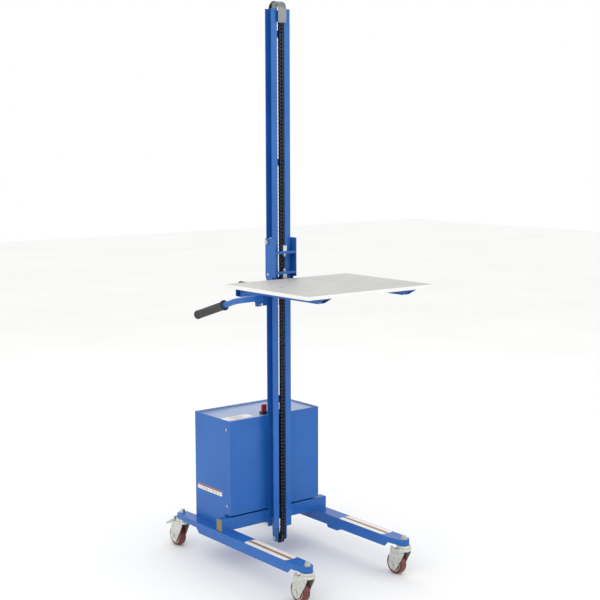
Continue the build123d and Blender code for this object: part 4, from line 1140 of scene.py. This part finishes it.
@dataclass
class Cabinet:
    """Shell, rear cover, tray, screws, switches and the drive inside."""

    shell_soft: float = 1.0
    side_label: tuple[float, float] = (20.0 * MM, 156.0 * MM)
    cross_sink: float = 0.4 * MM

    def build(self) -> None:
        """Makes the cabinet's pieces."""
        from_cad("cabinet_shell", BLUE_ENAMEL, self.shell_soft, steps=3)
        from_cad("cabinet_rear_cover", BLUE_ENAMEL, self.shell_soft)
        # The tray's pale finish is painted reflection: the cabinet's blue enamel lightened to stand in for
        # sky light on its top.
        from_cad("cabinet_tray", TRAY_ENAMEL_PAINTED_REFLECTION, 0.6)
        self.screws()
        self.switches()
        self.drive()
        self.labels()

    def screws(self) -> None:
        """Makes the screws, with a cross-recessed head on each of those in the sides."""
        from_cad("cabinet_screws", ZINC_PLATE, 0.4)
        shell_high = box_of("cabinet_shell")[1]
        mesh = frame["nodes"]["cabinet_screws"].data
        points = np.empty(len(mesh.vertices) * 3)
        mesh.vertices.foreach_get("co", points)
        points = points.reshape(-1, 3)
        outside = points[points[:, 0] > shell_high[0] + 0.1 * MM]
        outside = outside[np.argsort(outside[:, 2])]
        gaps = np.nonzero(np.diff(outside[:, 2]) > 20 * MM)[0] + 1
        head = screw_head(4.7, 1.2, 2.8)
        heads = []
        for group in np.split(outside, gaps):
            y, z = (group.min(axis=0)[1:] + group.max(axis=0)[1:]) / 2
            x = group[:, 0].max() - self.cross_sink
            for sign in (-1, 1):
                heads.append(head.placed(towards((sign * x, y, z), (sign, 0, 0))))
        log.info("cabinet side screws: %d crosses", len(heads))
        make_piece("cabinet_screw_crosses", joined(heads), [ZINC_PLATE], "frame")

    def switches(self) -> None:
        """Dresses the two switches and their bases."""
        from_cad("switch_bases", BLACK_ABS, 0.6)
        from_cad("power_switch_lever", RED_ABS, 0.8, steps=3)
        from_cad("lift_switch_lever", BLACK_ABS, 0.6, steps=3)

    def drive(self) -> None:
        """Dresses what is inside: chain guides, sprocket, gearbox, motor, battery and controller."""
        from_cad("drive_brackets", BLUE_ENAMEL, 0.6)
        from_cad("drive_sprocket", SPROCKET_STEEL, 0.4)
        for level in ("upper", "lower"):
            from_cad(f"chain_guide_roller_{level}", NYLON, 0.5)
        from_cad("gearbox", HAMMER_PAINT, 1.2)
        from_cad("drive_motor", BLACK_ABS, 1.0)
        from_cad("battery", BLACK_ABS, 1.5)
        from_cad("motor_controller", ROLLED_ALUMINIUM, 0.6)

    def labels(self) -> None:
        """Lays the blank labels: one on the tray and a strip on the left side."""
        shell_low, shell_high = box_of("cabinet_shell")
        floor = shell_high[2] - 6 * MM
        mast_y = centre_of("mast_channel_right")[1]
        tray = Label(132 * MM, 44 * MM, 0.0001, 1, bars=4)
        spot = (-0.132, mast_y + 0.086, floor)
        tray.build("tray_label", axes_matrix(spot, (1, 0, 0), (0, 1, 0), (0, 0, 1)))
        width, length = self.side_label
        spot = (shell_low[0] - 0.02 * MM, mast_y + 0.155, 0.257)
        side = Label(width, length, 0.35, 1)
        side.build("side_label", axes_matrix(spot, (0, 0, 1), (0, 1, 0), (-1, 0, 0)))


@dataclass
class Studio:
    """Camera, lights and floor."""

    azimuth: float = -38.36
    elevation: float = 7.42
    roll: float = -0.14
    focal_mm: float = 73.28
    sensor_mm: float = 36.0
    eye: tuple[float, float, float] = (-2.6443, -3.465, 1.5236)

    def build(self) -> None:
        """Sets the camera, the lights and the floor."""
        self.camera()
        self.lights()
        self.floor()

    def camera(self) -> None:
        """Places the camera: level view lines turned by azimuth, tipped by elevation, then rolled."""
        turn = math.radians(self.azimuth)
        tip = math.radians(self.elevation)
        spin = math.radians(self.roll)
        forward = Vector((-math.sin(turn) * math.cos(tip), math.cos(turn) * math.cos(tip), -math.sin(tip)))
        right = forward.cross(Vector((0, 0, 1))).normalized()
        up = right.cross(forward)
        rolled_right = right * math.cos(spin) + up * math.sin(spin)
        rolled_up = up * math.cos(spin) - right * math.sin(spin)
        data = bpy.data.cameras.new("studio_camera")
        data.lens = self.focal_mm
        data.sensor_width = self.sensor_mm
        data.sensor_fit = "HORIZONTAL"
        data.clip_end = 50
        camera = bpy.data.objects.new("studio_camera", data)
        rows = Matrix((rolled_right, rolled_up, -forward)).transposed().to_4x4()
        mast_y = float(centre_of("mast_channel_right")[1])
        place = Vector((self.eye[0], self.eye[1] + mast_y, self.eye[2]))
        camera.matrix_world = Matrix.Translation(place) @ rows
        bpy.context.scene.collection.objects.link(camera)
        bpy.context.scene.camera = camera

    def lights(self) -> None:
        """Hangs three large soft lights and an even sky."""
        specs = [
            ("key_light", (-3.2, -1.6, 3.6), 2.6, 26.0),
            ("fill_light", (2.4, -4.2, 2.2), 3.2, 26.0),
            ("rim_light", (1.6, 3.2, 3.4), 2.4, 16.0),
        ]
        target = Vector((0, 0, 0.9))
        for name, spot, size, power in specs:
            data = bpy.data.lights.new(name, "AREA")
            data.shape = "SQUARE"
            data.size = size
            data.energy = power
            lamp = bpy.data.objects.new(name, data)
            lamp.location = spot
            lamp.rotation_euler = (target - Vector(spot)).to_track_quat("-Z", "Y").to_euler()
            bpy.context.scene.collection.objects.link(lamp)
        sky = bpy.data.worlds.new("studio_sky")
        sky.use_nodes = True
        backdrop = sky.node_tree.nodes["Background"]
        backdrop.inputs["Color"].default_value = linear("#ffffff")
        backdrop.inputs["Strength"].default_value = 1.0
        bpy.context.scene.world = sky
        bpy.context.scene.view_settings.view_transform = "Standard"

    def floor(self) -> None:
        """Lays a wide sheet of studio paper."""
        reach = 14.0
        corners = np.array([[-reach, -reach, 0], [reach, -reach, 0], [reach, reach, 0], [-reach, reach, 0]])
        mesh = bpy.data.meshes.new("studio_floor")
        mesh.from_pydata(corners.tolist(), [], [(0, 1, 2, 3)])
        mesh.materials.append(STUDIO_PAPER.material())
        sheet = bpy.data.objects.new("studio_floor", mesh)
        bpy.context.scene.collection.objects.link(sheet)


def main() -> None:
    """Builds the sub-assemblies in order."""
    logging.basicConfig(level=logging.INFO, format="%(name)s: %(message)s")
    kinds = (Studio, Mast, RollerChain, Carriage, Platform, Handles, Base, Casters, Cabinet)
    for kind in kinds:
        part = kind()
        log.info("building %s", type(part).__name__)
        part.build()


if __name__ == "__main__":
    main()
